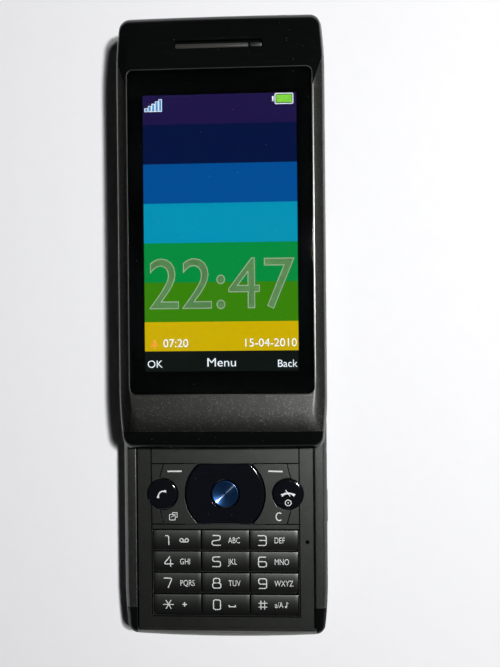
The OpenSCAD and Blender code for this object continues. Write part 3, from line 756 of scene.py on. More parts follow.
def kept(solid: bpy.types.Object, name: str, tool: bpy.types.Object) -> bpy.types.Object:
    """Makes a second object of the part of a solid that lies in a tool's space."""
    made = link(name, solid.data.copy())
    carve(made, tool, Carve.KEEP)
    return made


def clean(piece: bpy.types.Object) -> None:
    """Merges doubles and joins flat faces of a piece."""
    with editing(piece.data) as work:
        bmesh.ops.remove_doubles(work, verts=work.verts, dist=2e-6)
        bmesh.ops.dissolve_limit(work, angle_limit=math.radians(0.2), verts=work.verts,
                                 edges=work.edges)


def ease(piece: bpy.types.Object, width: float, segments: int = 2) -> None:
    """Rounds the sharp edges of a piece and lets its large faces rule the shading.

    Args:
        piece: The piece.
        width: Width of the rounding in millimetres.
        segments: Steps of the rounding.
    """
    clean(piece)
    step = piece.modifiers.new("ease", "BEVEL")
    step.width, step.segments, step.limit_method = width * MM, segments, "ANGLE"
    step.angle_limit = math.radians(28.0)
    even = piece.modifiers.new("even_normals", "WEIGHTED_NORMAL")
    even.weight, even.keep_sharp = 100, False
    piece.data.shade_smooth()


def eased_node(node: str, name: str, width: float) -> bpy.types.Object:
    """Makes a named copy of a CAD node, with its edges rounded where a width is given."""
    made = link(name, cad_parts[node].data.copy())
    made.data.materials.clear()
    clean(made)
    if width:
        ease(made, width, 3)
    return made


PAINTS: dict[Finish, bpy.types.Material] = {}


def paint(piece: bpy.types.Object, finish: Finish) -> None:
    """Gives a piece the material of a finish, which is built once."""
    if finish not in PAINTS:
        PAINTS[finish] = finish.material()
    piece.data.materials.clear()
    piece.data.materials.append(PAINTS[finish])


def dress(piece: bpy.types.Object, finish: Finish, slot: Slot, body: str, *nodes: str) -> None:
    """Gives a new piece its finish, its body and the nodes that it stands for.

    Args:
        piece: The piece.
        finish: Its finish.
        slot: A material slot name; not used.
        body: The body that it rides on.
        nodes: CAD nodes that it replaces.
    """
    paint(piece, finish)
    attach(piece, body)
    if nodes:
        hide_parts(*nodes)
    LOG.info("%s rides on %s", piece.name, body)


# ---------------------------------------------------------------- printed and lit marks


def round_path(corners: Array, radius: float, closed: bool) -> Array:
    """Replaces each corner of a path by a short curve.

    The curve is the parabola from a point before the corner to one after it, with the corner
    as its control point, so a point at t is (1-t)^2 a + 2 t (1-t) c + t^2 b.

    Args:
        corners: Corner points.
        radius: Distance from a corner at which its curve begins.
        closed: Whether the path returns to its start.

    Returns:
        The points of the rounded path.
    """
    if radius <= 0:
        return corners
    before, after = np.roll(corners, 1, 0), np.roll(corners, -1, 0)
    reach_a = np.linalg.norm(before - corners, axis=1, keepdims=True)
    reach_b = np.linalg.norm(after - corners, axis=1, keepdims=True)
    a = corners + (before - corners) * np.minimum(radius / reach_a, 0.49)
    b = corners + (after - corners) * np.minimum(radius / reach_b, 0.49)
    t = np.linspace(0, 1, 5)[None, :, None]
    bends = (1 - t) ** 2 * a[:, None] + 2 * t * (1 - t) * corners[:, None] + t ** 2 * b[:, None]
    if closed:
        return bends.reshape(-1, 2)
    inner = bends[1:-1].reshape(-1, 2)
    return np.concatenate([corners[:1], inner, corners[-1:]])


def fine_path(line: Array, closed: bool, step: float = 0.3) -> Array:
    """Adds points along a path, so that it can follow a curved surface.

    The new points lie on the path's straight pieces, a step of its length apart.

    Args:
        line: The path's points.
        closed: Whether the path returns to its start.
        step: Largest distance between points.

    Returns:
        The path with its old points and the new ones.
    """
    if closed:
        line = np.concatenate([line, line[:1]])
    far = np.concatenate([[0], np.cumsum(np.linalg.norm(np.diff(line, axis=0), axis=1))])
    keep = np.concatenate([[True], np.diff(far) > 1e-5])
    line, far = line[keep], far[keep]
    at = np.unique(np.concatenate([far, np.arange(0, far[-1], step)]).round(4))
    fine = np.stack([np.interp(at, far, line[:, 0]), np.interp(at, far, line[:, 1])], 1)
    return fine[:-1] if closed else fine


def level(height: float) -> Callable[[Array, Array], Array]:
    """Gives a function for a flat surface at that height."""
    return lambda x, y: np.full_like(x, height)


class Marks:
    """Thin printed marks on a surface, gathered into one mesh."""

    def __init__(self, height: Callable[[Array, Array], Array], lift: float = 0.016) -> None:
        """Starts with no marks, at a lift over a surface whose height is given by x and y."""
        self.height = height
        self.lift = lift
        self.points: list[Array] = []
        self.faces: list[list[int]] = []

    def add(self, flat: Array, faces: Sequence[Sequence[int]]) -> None:
        """Adds flat points and their faces."""
        start = sum(len(p) for p in self.points)
        z = self.height(flat[:, 0], flat[:, 1]) + self.lift
        self.points.append(np.column_stack([flat, z]))
        self.faces += [[start + i for i in face] for face in faces]

    def draw(self, at: Sequence[float], *items: "Line | Circle | Words") -> None:
        """Draws the items of a sign, whose places are given from the sign's own origin."""
        for item in items:
            item.draw(self, np.array(at, float))

    def piece(self, name: str) -> bpy.types.Object:
        """Makes the gathered marks into one object whose faces all look up."""
        made = put(name, np.concatenate(self.points), self.faces)
        with editing(made.data) as work:
            turned = [face for face in work.faces if face.normal.z < 0]
            bmesh.ops.reverse_faces(work, faces=turned)
        return made


@dataclass(frozen=True)
class Line:
    """A line of a sign: its corners, its width or widths, and how it bends and closes."""

    path: Sequence[Point] | Array
    width: float | Sequence[float] | Array
    rounding: float = 0.0
    closed: bool = False

    def draw(self, marks: Marks, at: Array) -> None:
        """Adds the line as a strip along the middle of its path.

        At each point the strip reaches half the width to either side, across the mean of the
        directions before and after, and further where they differ.

        Args:
            marks: Where it is drawn.
            at: The sign's origin.
        """
        line = round_path(np.array(self.path, float) + at, self.rounding, self.closed)
        if np.ndim(self.width) == 0:
            line = fine_path(line, self.closed)
        after = np.roll(line, -1, 0) - line
        before = line - np.roll(line, 1, 0)
        if not self.closed:
            after[-1], before[0] = before[-1], after[0]
        after /= np.linalg.norm(after, axis=1, keepdims=True)
        before /= np.linalg.norm(before, axis=1, keepdims=True)
        along = after + before
        along /= np.maximum(np.linalg.norm(along, axis=1, keepdims=True), 1e-6)
        spread = 1 / np.maximum((along * after).sum(1, keepdims=True), 0.5)
        across = np.stack([along[:, 1], -along[:, 0]], 1)
        out = across * spread * np.reshape(self.width, (-1, 1)) / 2
        grid = np.stack([line + out, line - out])
        marks.add(grid.reshape(-1, 2), quads(2, len(line), self.closed).tolist())


@dataclass(frozen=True)
class Circle:
    """A circle of a sign."""

    centre: Point
    radius: float
    width: float

    def draw(self, marks: Marks, at: Array) -> None:
        """Adds the circle as a closed line."""
        around = np.linspace(0, FULL_TURN, 32, endpoint=False)
        path = np.stack([np.cos(around), np.sin(around)], 1) * self.radius
        Line(path, self.width, closed=True).draw(marks, at + self.centre)


@dataclass(frozen=True)
class Words:
    """A line of plain lettering or figures, hollow where an outline's width is given."""

    text: str
    size: float
    at: Point = (0.0, 0.0)
    anchor: str = "LEFT"
    squeeze: float = 1.0
    outline: float = 0.0

    def draw(self, marks: Marks, at: Array) -> None:
        """Adds the characters, cut into low bands so that they can follow a surface."""
        curve = bpy.data.curves.new("words", "FONT")
        curve.body, curve.size, curve.align_x = self.text, self.size, self.anchor
        curve.resolution_u = 4
        if self.outline:
            curve.fill_mode, curve.bevel_depth = "NONE", self.outline / 2
            curve.bevel_resolution = 0
        holder = link("words", curve)
        shape = settled(holder)
        with editing(shape) as work:
            bmesh.ops.triangulate(work, faces=work.faces)
            for y in np.arange(-0.3, 1.0, 0.15) * self.size:
                parts = work.verts[:] + work.edges[:] + work.faces[:]
                bmesh.ops.bisect_plane(work, geom=parts, plane_co=(0, y, 0), plane_no=(0, 1, 0))
        flat = np.zeros(len(shape.vertices) * 3)
        shape.vertices.foreach_get("co", flat)
        faces = [list(face.vertices) for face in shape.polygons]
        marks.add(flat.reshape(-1, 3)[:, :2] * (self.squeeze, 1) + (at + self.at), faces)
        bpy.data.objects.remove(holder)
        bpy.data.curves.remove(curve)
        bpy.data.meshes.remove(shape)


# ---------------------------------------------------------------- finishes of this phone

HOUSING = FlakePaint("dark_housing_paint", srgb(110, 113, 110), 0.3, metallic=1.0,
                     flake=srgb(150, 152, 150), share=0.8, size=0.2)
DECK = Finish("satin_deck_paint", srgb(108, 111, 107), 0.3, 0.14, 0.006, metallic=1.0)
KEY_FACE = Finish("satin_key_lacquer", srgb(107, 110, 106), 0.34, 0.12, 0.005, metallic=1.0)
ROCKER_FACE = Finish("satin_rocker_lacquer", srgb(102, 105, 102), 0.32, 0.14, 0.006,
                     metallic=1.0)
GLOSS = Lacquer("gloss_black_lacquer", srgb(10, 11, 11), 0.05, ior=1.42)
KEY_GLOSS = Lacquer("gloss_key_lacquer", srgb(14, 15, 20), 0.07, ior=1.5)
FLAKE = FlakePaint("flake_frame_paint", srgb(96, 97, 94), 0.32, metallic=1.0,
                   flake=srgb(158, 158, 154), share=0.72, size=0.2)
TRIM = Brushed("bright_edge_trim", srgb(158, 158, 154), 0.36, metallic=0.85, depth=0.004)
RIM = Brushed("light_end_rim", srgb(150, 152, 148), 0.42, metallic=0.7, depth=0.004)
STEEL = Brushed("rail_steel", srgb(150, 150, 148), 0.34, metallic=1.0, depth=0.005, turn=90)
DARK_STEEL = Brushed("blackened_steel", srgb(62, 63, 64), 0.42, metallic=0.9, depth=0.005)
SIDE_METAL = Brushed("side_key_metal", srgb(120, 122, 124), 0.34, metallic=0.9, depth=0.004,
                     turn=90)
RING_METAL = Brushed("camera_ring_metal", srgb(176, 178, 180), 0.25, metallic=1.0, depth=0.003)
GASKET = Brushed("window_gasket_metal", srgb(116, 118, 115), 0.34, metallic=1.0, depth=0.004)
WINDOW = ClearGlass("window_glass", srgb(250, 252, 251), 0.0, ior=1.42)
LENS = ClearGlass("camera_glass", srgb(205, 212, 220), 0.0, ior=1.5)
# black of the window's print, also laid as painted shade on the deck's seam floors and in the
# microphone hole
BLACK_PRINT_AND_SHADE = Finish("black_print_and_painted_shade", srgb(9, 11, 11), 0.9, 0.3, 0.0, ior=1.05)
BLACK_PLASTIC = Finish("black_inner_plastic", srgb(30, 31, 32), 0.55, 0.2, 0.01)
GRILLE = Perforated("woven_steel_grille", srgb(62, 61, 59), 0.45, metallic=0.3, pitch=0.42)
SPEAKER_MESH = Perforated("speaker_mesh", srgb(52, 53, 54), 0.45, metallic=0.6, pitch=0.6)
LEGEND = Ink("pale_key_print", srgb(212, 216, 214), 0.5)
WHITE_LEGEND = Ink("white_key_print", srgb(226, 230, 230), 0.45)
LIT_WHITE = Ink("lit_white", srgb(214, 220, 226), 0.6, glow=1.0)
LIT_SHADE = Ink("lit_shade", srgb(74, 118, 66), 0.6, glow=0.8)
LIT_GREY = Ink("lit_grey_line", srgb(146, 156, 138), 0.6, glow=0.9)
LIT_GREEN = Ink("lit_green", srgb(104, 176, 40), 0.6, glow=1.0)
LIT_BLUE = Ink("lit_blue", srgb(66, 128, 176), 0.6, glow=1.0)
LIT_AMBER = Ink("lit_amber", srgb(196, 132, 30), 0.6, glow=1.0)
MAGNESIUM = Finish("cast_magnesium", srgb(120, 122, 124), 0.45, 0.5, 0.02, metallic=0.8)
BOARD = Circuit("board_lacquer", srgb(14, 26, 21), 0.4)
FOIL = Brushed("can_tinplate", srgb(182, 184, 186), 0.3, metallic=1.0, depth=0.004)
DOMES = Perforated("dome_foil", srgb(190, 160, 100), 0.5, pitch=3.0)
SILICONE = Finish("dark_silicone", srgb(26, 27, 27), 0.6, 0.4, 0.01)
PACK = Finish("battery_wrap", srgb(74, 78, 84), 0.35, 0.5, 0.006)
COPPER = Brushed("copper_foil", srgb(196, 122, 74), 0.3, metallic=1.0, depth=0.003)
LAMP = Finish("lamp_resin", srgb(238, 232, 204), 0.15, 0.8, 0.01, coat=0.6)
ACTUATOR = Finish("actuator_nylon", srgb(34, 34, 35), 0.5, 0.4, 0.01)
FLOOR = Finish("pale_floor", srgb(236, 236, 238), 0.7, 6.0, 0.02, cloud=0.015)

NODE_FINISH: tuple[tuple[Finish, tuple[str, ...]], ...] = (
    (STEEL, ("slide_plate", "housing_screws", "slide_screws", "display_tray", "vibration_motor",
             "side_socket")),
    (DARK_STEEL, ("slide_carriage", "vibration_weight", "earpiece")),
    (BOARD, ("main_board",)),
    (DOMES, ("keypad_board",)),
    (SILICONE, ("keypad_mat",)),
    (PACK, ("battery",)),
    (COPPER, ("antenna", "microphone")),
    (BLACK_PLASTIC, ("camera_module", "loudspeaker", "display_module")),
    (MAGNESIUM, ("middle_frame",)),
    (ACTUATOR, ("nav_actuator",)),
    (FOIL, ("shield_cans", "card_holders")),
    (LAMP, ("flash_lamp",)),
)


# ---------------------------------------------------------------- the display half


@dataclass
class FrontShell:
    """Front shell of the display half: a gloss cap, a painted frame and a gloss lip."""

    bow: float = 1500.0
    seam: float = 0.1
    window_radius: float = 1.4
    window_gap: float = 0.2
    cap_slope: float = 2.9
    cap_under: float = 4.7
    cap_edge: float = 0.26
    lip_width: float = 0.16
    seam_edge: float = 0.09
    floor: float = 0.3
    slot_gap: float = 0.12
    slot_radius: float = 0.5
    corners: tuple[Place, ...] = (
        (0.9, 0.7, 0.0), (0.38, 0.12, 0.0), (0.3, 0.05, 0.5), (0.3, 0.3, 1.9),
        (0.34, 1.2, 3.0), (0.62, 2.2, 3.62), (1.15, 3.2, 3.98), (2.0, 4.9, 4.5),
        (2.55, 6.6, 4.8), (2.8, 8.4, 4.93), (3.0, 9.6, 4.95))

    def __post_init__(self) -> None:
        """Reads the places of the pieces that the shell goes round."""
        self.low, self.high = box_mm("slide_trim")
        self.glass_low, self.glass_high = box_mm("display_window")
        self.lip_edge = box_mm("lower_lip")[1][1]
        self.heights = (self.high[2] - 1, self.glass_high[2] + PAST)

    def solid(self) -> bpy.types.Object:
        """Makes the whole shell with the window's pocket in it, ready to be split."""
        profile = softened(self.corners) + (0, 0, self.high[2])
        size = self.high - self.low
        rings = body_rings(profile, size[0], size[1], self.bow, (self.low[1] + self.high[1]) / 2)
        made = skin("painted_front_frame", rings)
        carve(made, rounded_cutter(self.glass_low, self.glass_high, self.window_gap,
                                   self.window_radius + self.window_gap,
                                   (self.glass_low[2] - self.floor, ABOVE)))
        return made

    def cap_space(self, shift: float) -> bpy.types.Object:
        """Makes a cutter of the space above the slanted seam, moved down by a shift."""
        wide = self.high[0] + 1
        foot = self.glass_high[1] - self.cap_under - shift
        climb = foot + self.cap_slope * (wide - self.glass_high[0])
        top = self.high[1] + PAST
        return cutter(np.array([[-wide, climb], [self.glass_low[0], foot],
                                [self.glass_high[0], foot], [wide, climb], [wide, top],
                                [-wide, top]]), *self.heights)

    def lip_space(self, shift: float) -> bpy.types.Object:
        """Makes a cutter of the space below the lip's upper edge, moved up by a shift."""
        return belt(BEYOND, (self.low[1] - PAST, self.lip_edge + shift), self.heights)

    def build(self) -> None:
        """Makes the three pieces."""
        frame_piece = self.solid()
        cap = kept(frame_piece, "upper_gloss_cap", self.cap_space(0.0))
        carve(cap, rounded_cutter(box_mm("earpiece_grille")[0], box_mm("sensor_window")[1],
                                  self.slot_gap, self.slot_radius,
                                  (self.glass_low[2] - 0.1, self.heights[1])))
        lip = kept(frame_piece, "lower_gloss_lip", self.lip_space(0.0))
        carve(frame_piece, self.cap_space(self.seam))
        carve(frame_piece, self.lip_space(self.seam))
        for piece, edge, finish, slot, node in (
                (cap, self.cap_edge, GLOSS, Slot.GLOSS, "top_cap"),
                (lip, self.lip_width, GLOSS, Slot.GLOSS, "lower_lip"),
                (frame_piece, self.seam_edge, FLAKE, Slot.FLAKE, "slide_frame")):
            ease(piece, edge, 3)
            dress(piece, finish, slot, DISPLAY, node)


@dataclass
class BackOfDisplayHalf:
    """The bright trim round the display half and the back cover under it."""

    bow: float = 1500.0
    tray_gap: float = 0.1
    tray_cut: float = 30.0
    plate_gap: float = 0.05
    cover_edge: float = 0.08
    trim_corners: tuple[Point, ...] = (
        (0.6, 0.0), (0.05, 0.0), (0.0, 0.1), (0.0, 0.16), (0.3, 0.49), (0.7, 0.49))
    cover_corners: tuple[Point, ...] = (
        (2.2, 0.0), (0.9, 0.0), (0.3, 0.3), (0.25, 0.6), (0.25, 0.9), (1.0, 0.9))

    def layer(self, name: str, corners: Sequence[Point], node: str,
              rounds: int) -> bpy.types.Object:
        """Lays one layer of the half.

        Args:
            name: Name of the piece.
            corners: Insets and heights of its edge.
            node: The CAD node on whose foot it stands.
            rounds: How often its edge is softened.

        Returns:
            The piece.
        """
        low, high = box_mm("slide_trim")
        flat = softened(corners, rounds)
        insets = np.stack([flat[:, 0], flat[:, 0], flat[:, 1] + box_mm(node)[0][2]], 1)
        size = high - low
        return skin(name, body_rings(insets, size[0], size[1], self.bow, (low[1] + high[1]) / 2))

    def build(self) -> None:
        """Makes the trim, hollow round the display, and the cover with the carriage's pocket."""
        trim = self.layer("bright_trim_ring", self.trim_corners, "slide_trim", 1)
        low, high = box_mm("display_tray")
        carve(trim, bar((low[0] - self.tray_gap, low[1] - 2 * PAST, 0),
                        (high[0] + self.tray_gap, high[1] + 2 * PAST, self.tray_cut)))
        dress(trim, TRIM, Slot.TRIM, DISPLAY, "slide_trim")
        cover = self.layer("display_back_cover", self.cover_corners, "slide_back", 2)
        low, high = box_mm("slide_carriage")
        low[2] = self.plate_gap
        carve(cover, bar(low - self.plate_gap, high + self.plate_gap))
        ease(cover, self.cover_edge)
        dress(cover, GLOSS, Slot.GLOSS, DISPLAY, "slide_back")


SIGNAL_STEPS = tuple((-17.35 + 0.84 * i, 0.52 * i) for i in range(5))
SIGNAL_FOOT = 28.7
SIGNAL_LOW = 0.75
SIGNAL_HALF = 0.34
CLOCK = Words("22:47", 17.0, (0.0, -18.0), "CENTER", 0.925)

# Each lit piece: its name, its lift over the picture, its ink and its items, which are placed
# from the window's middle.
SCREEN: tuple[tuple[str, float, Ink, tuple[Line | Circle | Words, ...]], ...] = (
    ("clock_shade", 0.0, LIT_SHADE, (CLOCK,)),
    ("clock_outline", 0.006, LIT_GREY, (replace(CLOCK, outline=0.21),)),
    ("white_signs", 0.004, LIT_WHITE, (
        Words("07:20", 2.75, (-13.9, -27.15)),
        Words("15-04-2010", 2.75, (17.9, -27.15), "RIGHT"),
        Words("OK", 2.5, (-17.7, -32.0)),
        Words("Menu", 2.9, (0.0, -31.8), "CENTER", 1.1),
        Words("Back", 2.5, (17.9, -32.0), "RIGHT"),
        *(Line(((x - SIGNAL_HALF, SIGNAL_FOOT), (x + SIGNAL_HALF, SIGNAL_FOOT),
                (x + SIGNAL_HALF, SIGNAL_FOOT + SIGNAL_LOW + rise),
                (x - SIGNAL_HALF, SIGNAL_FOOT + SIGNAL_LOW + rise)), 0.14, closed=True)
          for x, rise in SIGNAL_STEPS),
        Line(((13.2, 29.9), (17.4, 29.9), (17.4, 32.3), (13.2, 32.3)), 0.2, 0.3, True),
        Line(((12.7, 30.5), (12.7, 31.7)), 0.4))),
    ("battery_sign", 0.002, LIT_GREEN, (Line(((13.5, 31.1), (17.15, 31.1)), 1.85),)),
    ("signal_sign", 0.002, LIT_BLUE, tuple(
        Line(((x, SIGNAL_FOOT), (x, SIGNAL_FOOT + SIGNAL_LOW + rise)), 0.6)
        for x, rise in SIGNAL_STEPS)),
    ("alarm_sign", 0.002, LIT_AMBER, (
        Line(((-15.9, -27.0), (-15.9, -26.3), (-15.9, -25.3)), (1.9, 1.1, 0.5)),
        Circle((-15.9, -27.2), 0.2, 0.25))),
)


@dataclass
class Window:
    """The window glass, the black print under it and the lit picture."""

    radius: float = 1.4
    edge: float = 0.24
    print_depth: float = 0.03
    picture_depth: float = 0.07
    marks_depth: float = 0.065
    margin: float = 0.3
    picture_low: Point = (-18.2, -9.55)
    picture_high: Point = (18.2, 55.85)
    first_edge: float = 25.56
    pitch: float = 9.35
    bar_edge: float = -28.1
    edge_steps: tuple[Point, ...] = (
        (0.0, 1.0), (0.12, 0.62), (0.4, 0.25), (0.75, 0.06), (1.2, 0.0), (1.6, 0.0))
    gasket_steps: tuple[Point, ...] = (
        (-0.02, 0.12), (-0.07, 0.09), (-0.13, 0.09), (-0.18, 0.12))
    stripes: tuple[Colour, ...] = (
        srgb(34, 24, 76), srgb(8, 22, 67), srgb(2, 84, 162), srgb(4, 158, 196),
        srgb(8, 150, 68), srgb(62, 140, 14), srgb(222, 188, 6))

    def build(self) -> None:
        """Makes the glass, the print, the picture and what it shows."""
        low, high = box_mm("display_window")
        foot, top = low[2], high[2]
        edge = [(self.edge * inset, top - self.edge * drop) for inset, drop in self.edge_steps]
        glass = rounded_rings([(0.05, foot), (0.0, foot + 0.05), *edge], low, high, self.radius)
        dress(skin("window_glass", glass), WINDOW, Slot.GLASS, DISPLAY, "display_window")
        line = [(inset, top - drop) for inset, drop in self.gasket_steps]
        gasket = rounded_rings([(line[0][0], foot), *line, (line[-1][0], foot)], low, high,
                               self.radius)
        dress(tube("window_gasket", gasket), GASKET, Slot.TRIM, DISPLAY)
        under = [(0.0, foot - self.print_depth)]
        border = np.concatenate([rounded_rings(under, low, high, self.radius),
                                 rounded_rings(under, self.picture_low, self.picture_high,
                                               0.02)])
        dress(put("window_print", border, quads(2, border.shape[1], True)), BLACK_PRINT_AND_SHADE,
              Slot.DISPLAY, DISPLAY)
        middle = (low[1] + high[1]) / 2
        glow = LitStripes("lit_stripes", srgb(4, 5, 5), 0.9, ior=1.05, stripes=self.stripes,
                          first_edge=self.first_edge + middle, pitch=self.pitch,
                          bar_edge=self.bar_edge + middle)
        picture = sheet("lit_picture", [c - self.margin for c in self.picture_low],
                        [c + self.margin for c in self.picture_high], foot - self.picture_depth)
        dress(picture, glow, Slot.DISPLAY, DISPLAY)
        for name, lift, ink, items in SCREEN:
            marks = Marks(level(foot - self.marks_depth), lift)
            marks.draw((0.0, middle), *items)
            dress(marks.piece(name), ink, Slot.DISPLAY, DISPLAY)


@dataclass
class EarSlot:
    """The woven strip of the earpiece and the dark sensor window beside it."""

    strip: float = 0.62
    radius: float = 0.4
    ledge_height: float = 0.25
    ledge_gap: float = 0.05
    edge_steps: tuple[Point, ...] = ((0.0, 0.15), (0.06, 0.04), (0.18, 0.0))

    def plate(self, name: str, node: str) -> bpy.types.Object:
        """Makes a softly rounded strip in place of a node, along the slot's lower side."""
        low, high = box_mm(node)
        high[1] = low[1] + (high[1] - low[1]) * self.strip
        edge = [(inset, high[2] - drop) for inset, drop in self.edge_steps]
        return skin(name, rounded_rings([(0.0, low[2]), *edge], low, high, self.radius))

    def build(self) -> None:
        """Makes the strip, the sensor window and the dark ledge behind them."""
        dress(self.plate("earpiece_strip", "earpiece_grille"), GRILLE, Slot.DARK_STEEL, DISPLAY,
              "earpiece_grille")
        dress(self.plate("sensor_pane", "sensor_window"), DARK_STEEL, Slot.LENS, DISPLAY,
              "sensor_window")
        low, high = box_mm("earpiece_grille")
        right = box_mm("sensor_window")[1][0]
        ledge = rounded_rings([(0.0, low[2]), (0.0, low[2] + self.ledge_height)],
                              (low[0], low[1] - self.ledge_gap),
                              (right, high[1] + self.ledge_gap), self.radius)
        dress(skin("ear_slot_floor", ledge), BLACK_PRINT_AND_SHADE, Slot.GLOSS, DISPLAY)


# ---------------------------------------------------------------- the keypad half


@dataclass
class Housing:
    """Shell of the keypad half with its cover, end rim and gloss corner caps."""

    bow: float = 400.0
    gap: float = 0.05
    edge: float = 0.1
    small_edge: float = 0.12
    cover_edge: float = 0.14
    wall_gap: float = 0.02
    cap_gap: float = 0.1
    cover_lip: float = 0.7
    inner_slope: Point = (0.17, 0.066)
    slope_cut: Point = (0.3, 0.2)
    hole_head: float = 2.2
    ring_gap: float = 0.06
    lamp_radius: float = 1.66
    grille_radius: float = 0.5
    screw_radius: float = 1.25
    screw_inset: float = 1.2
    screw_head: float = 1.75
    side_wall: float = 24.2
    side_reach: float = 40.0
    cap_foot: float = 9.0
    corners: tuple[Place, ...] = (
        (5.2, 5.0, 0.0), (4.4, 4.3, 0.02), (2.4, 2.2, 0.6), (0.85, 0.7, 2.0),
        (0.16, 0.1, 3.7), (0.0, 0.0, 5.0), (0.05, 0.12, 6.6), (0.1, 0.3, 7.25))
    chamfer: tuple[Place, ...] = (
        (0.2, 0.42, 7.42), (0.66, 0.95, 7.9), (1.0, 1.5, 8.22), (1.12, 1.7, 8.3),
        (1.5, 2.3, 8.3))

    def solid(self) -> bpy.types.Object:
        """Makes the whole form, round at the back and chamfered beside the slide."""
        high = box_mm("base_shell")[1]
        self.foot, self.head = box_mm("base_rim")[0][1], high[1]
        profile = np.concatenate([softened(self.corners), np.array(self.chamfer)])
        rings = body_rings(profile, high[0] * 2, self.head - self.foot, self.bow,
                           (self.head + self.foot) / 2)
        return skin("dark_housing", rings)

    def build(self) -> None:
        """Splits the form into its pieces and cuts their openings."""
        form = self.solid()
        cap_low, cap_high = box_mm("end_caps")
        rim_low, rim_high = box_mm("base_rim")
        cover_high = box_mm("battery_cover")[1]
        frame_low, frame_high = box_mm("middle_frame")
        foot, gap = self.foot - PAST, self.gap
        cap_x, cover_x = frame_high[0] + self.cap_gap, cover_high[0] - self.cover_lip
        wall_x = frame_high[0] + self.wall_gap

        caps = kept(form, "gloss_corner_caps",
                    belt(BEYOND, (foot, cap_high[1]), (cap_low[2], ABOVE)))
        carve(caps, belt(cap_x, (foot, self.head), (BELOW, ABOVE)))
        rim = kept(form, "light_end_rim",
                   belt(rim_high[0], (foot, rim_high[1]), (rim_low[2], ABOVE)))
        cover = kept(form, "battery_cover_skin",
                     belt(cover_x, (foot, cover_high[1]), (BELOW, cover_high[2])))

        carve(form, belt(wall_x, (frame_low[1] - 0.1, frame_high[1] + 0.1),
                         (frame_low[2], ABOVE)))
        for side in (-1, 1):
            carve(form, self.slope(side, wall_x, (frame_low[1], frame_high[1])))
        carve(form, belt(cover_x + gap, (foot, cover_high[1] + gap),
                         (BELOW, cover_high[2] + gap)))
        carve(form, belt(rim_high[0] + gap, (foot, rim_high[1] + gap),
                         (rim_low[2] - gap, ABOVE)))
        for side in (-1, 1):
            x0, x1 = sorted((side * (cap_x - gap), side * BEYOND))
            carve(form, bar((x0, self.foot - self.cap_foot, cap_low[2] - gap),
                            (x1, cap_high[1] + gap, ABOVE)))
        self.openings(form)
        for piece, edge, finish, slot, body, node in (
                (form, self.edge, HOUSING, Slot.HOUSING, BASE, "base_shell"),
                (caps, self.small_edge, GLOSS, Slot.GLOSS, BASE, "end_caps"),
                (rim, self.small_edge, RIM, Slot.TRIM, BASE, "base_rim"),
                (cover, self.cover_edge, HOUSING, Slot.HOUSING, "battery_cover",
                 "battery_cover")):
            ease(piece, edge)
            dress(piece, finish, slot, body, node)

    def slope(self, side: int, wall: float, along: Point) -> bpy.types.Object:
        """Makes a prism that slopes the inner top edge of a side wall, to carve with.

        Args:
            side: -1 for the left wall and 1 for the right one.
            wall: Distance of the wall's inner face from the middle.
            along: Ends of the prism along Y.

        Returns:
            The cutter: a five-sided section in XZ, carried along Y.
        """
        top = self.chamfer[-1][2]
        (out, drop), (inner, above) = self.inner_slope, self.slope_cut
        section = np.array([[wall - inner, top + above], [wall - inner, top - drop],
                            [wall, top - drop], [wall + out, top], [wall + out, top + above]])
        section = section[::-side] * (side, 1)
        return skin("cutter", np.stack([np.insert(section, 1, y, axis=1) for y in along]))

    def openings(self, form: bpy.types.Object) -> None:
        """Cuts the places of the camera, lamp, grille, screws, side keys and socket."""
        camera_radius = box_mm("camera_ring")[1][0] + self.ring_gap
        for node, radius in (("camera_ring", camera_radius), ("flash_lamp", self.lamp_radius)):
            x, y, _ = round_mm(node)[0]
            carve(form, pin(x, y, radius, BELOW, self.hole_head))
        carve(form, rounded_cutter(*box_mm("speaker_grille"), self.ring_gap,
                                   self.grille_radius, (BELOW, self.hole_head)))
        x, y, _ = box_mm("housing_screws")[1] - self.screw_inset
        for side in (-1, 1):
            carve(form, pin(side * x, y, self.screw_radius, BELOW, self.screw_head))
        for node, side, gap in (("volume_key", -1, 0.18), ("shutter_key", 1, 0.18),
                                ("side_socket", 1, 0.06)):
            low, high = box_mm(node)
            inner = min(abs(low[0]), abs(high[0]), self.side_wall)
            x0, x1 = sorted((side * inner, side * self.side_reach))
            carve(form, bar((x0, low[1] - gap, low[2] - gap), (x1, high[1] + gap, high[2] + gap)))


# Signs that are drawn from their own origin: beside a figure, its left side and foot; on the
# round keys, the key's middle; on the rocker keys, the sign's middle.
SIGNS: dict[str, tuple[Line | Circle, ...]] = {
    "tape": (Circle((0.5, 0.62), 0.42, 0.24), Circle((1.75, 0.62), 0.42, 0.24),
             Line(((0.5, 0.2), (1.75, 0.2)), 0.24)),
    "space": (Line(((0.1, 0.6), (0.1, 0.15), (1.6, 0.15), (1.6, 0.6)), 0.26),),
    "plus": (Line(((1.1, 0.1), (1.1, 1.2)), 0.28), Line(((0.55, 0.65), (1.65, 0.65)), 0.28)),
    "note": (Circle((2.75, 0.2), 0.17, 0.2),
             Line(((2.95, 0.2), (2.95, 1.3), (3.35, 1.0)), 0.14)),
    "power": (Line(((-0.6, 1.0), (0.5, -0.5)), 0.2), Circle((0.0, -2.1), 0.72, 0.2),
              Line(((0.0, -2.3), (0.0, -1.9)), 0.24)),
    "windows": (
        Line(((-0.95, -0.85), (0.45, -0.85), (0.45, 0.5), (-0.95, 0.5)), 0.17, 0.2, True),
        Line(((-0.2, 0.5), (-0.2, 0.95), (0.95, 0.95), (0.95, -0.2), (0.45, -0.2)), 0.16, 0.15),
        Line(((-0.5, -0.2), (0.6, 0.6)), 0.15)),
}

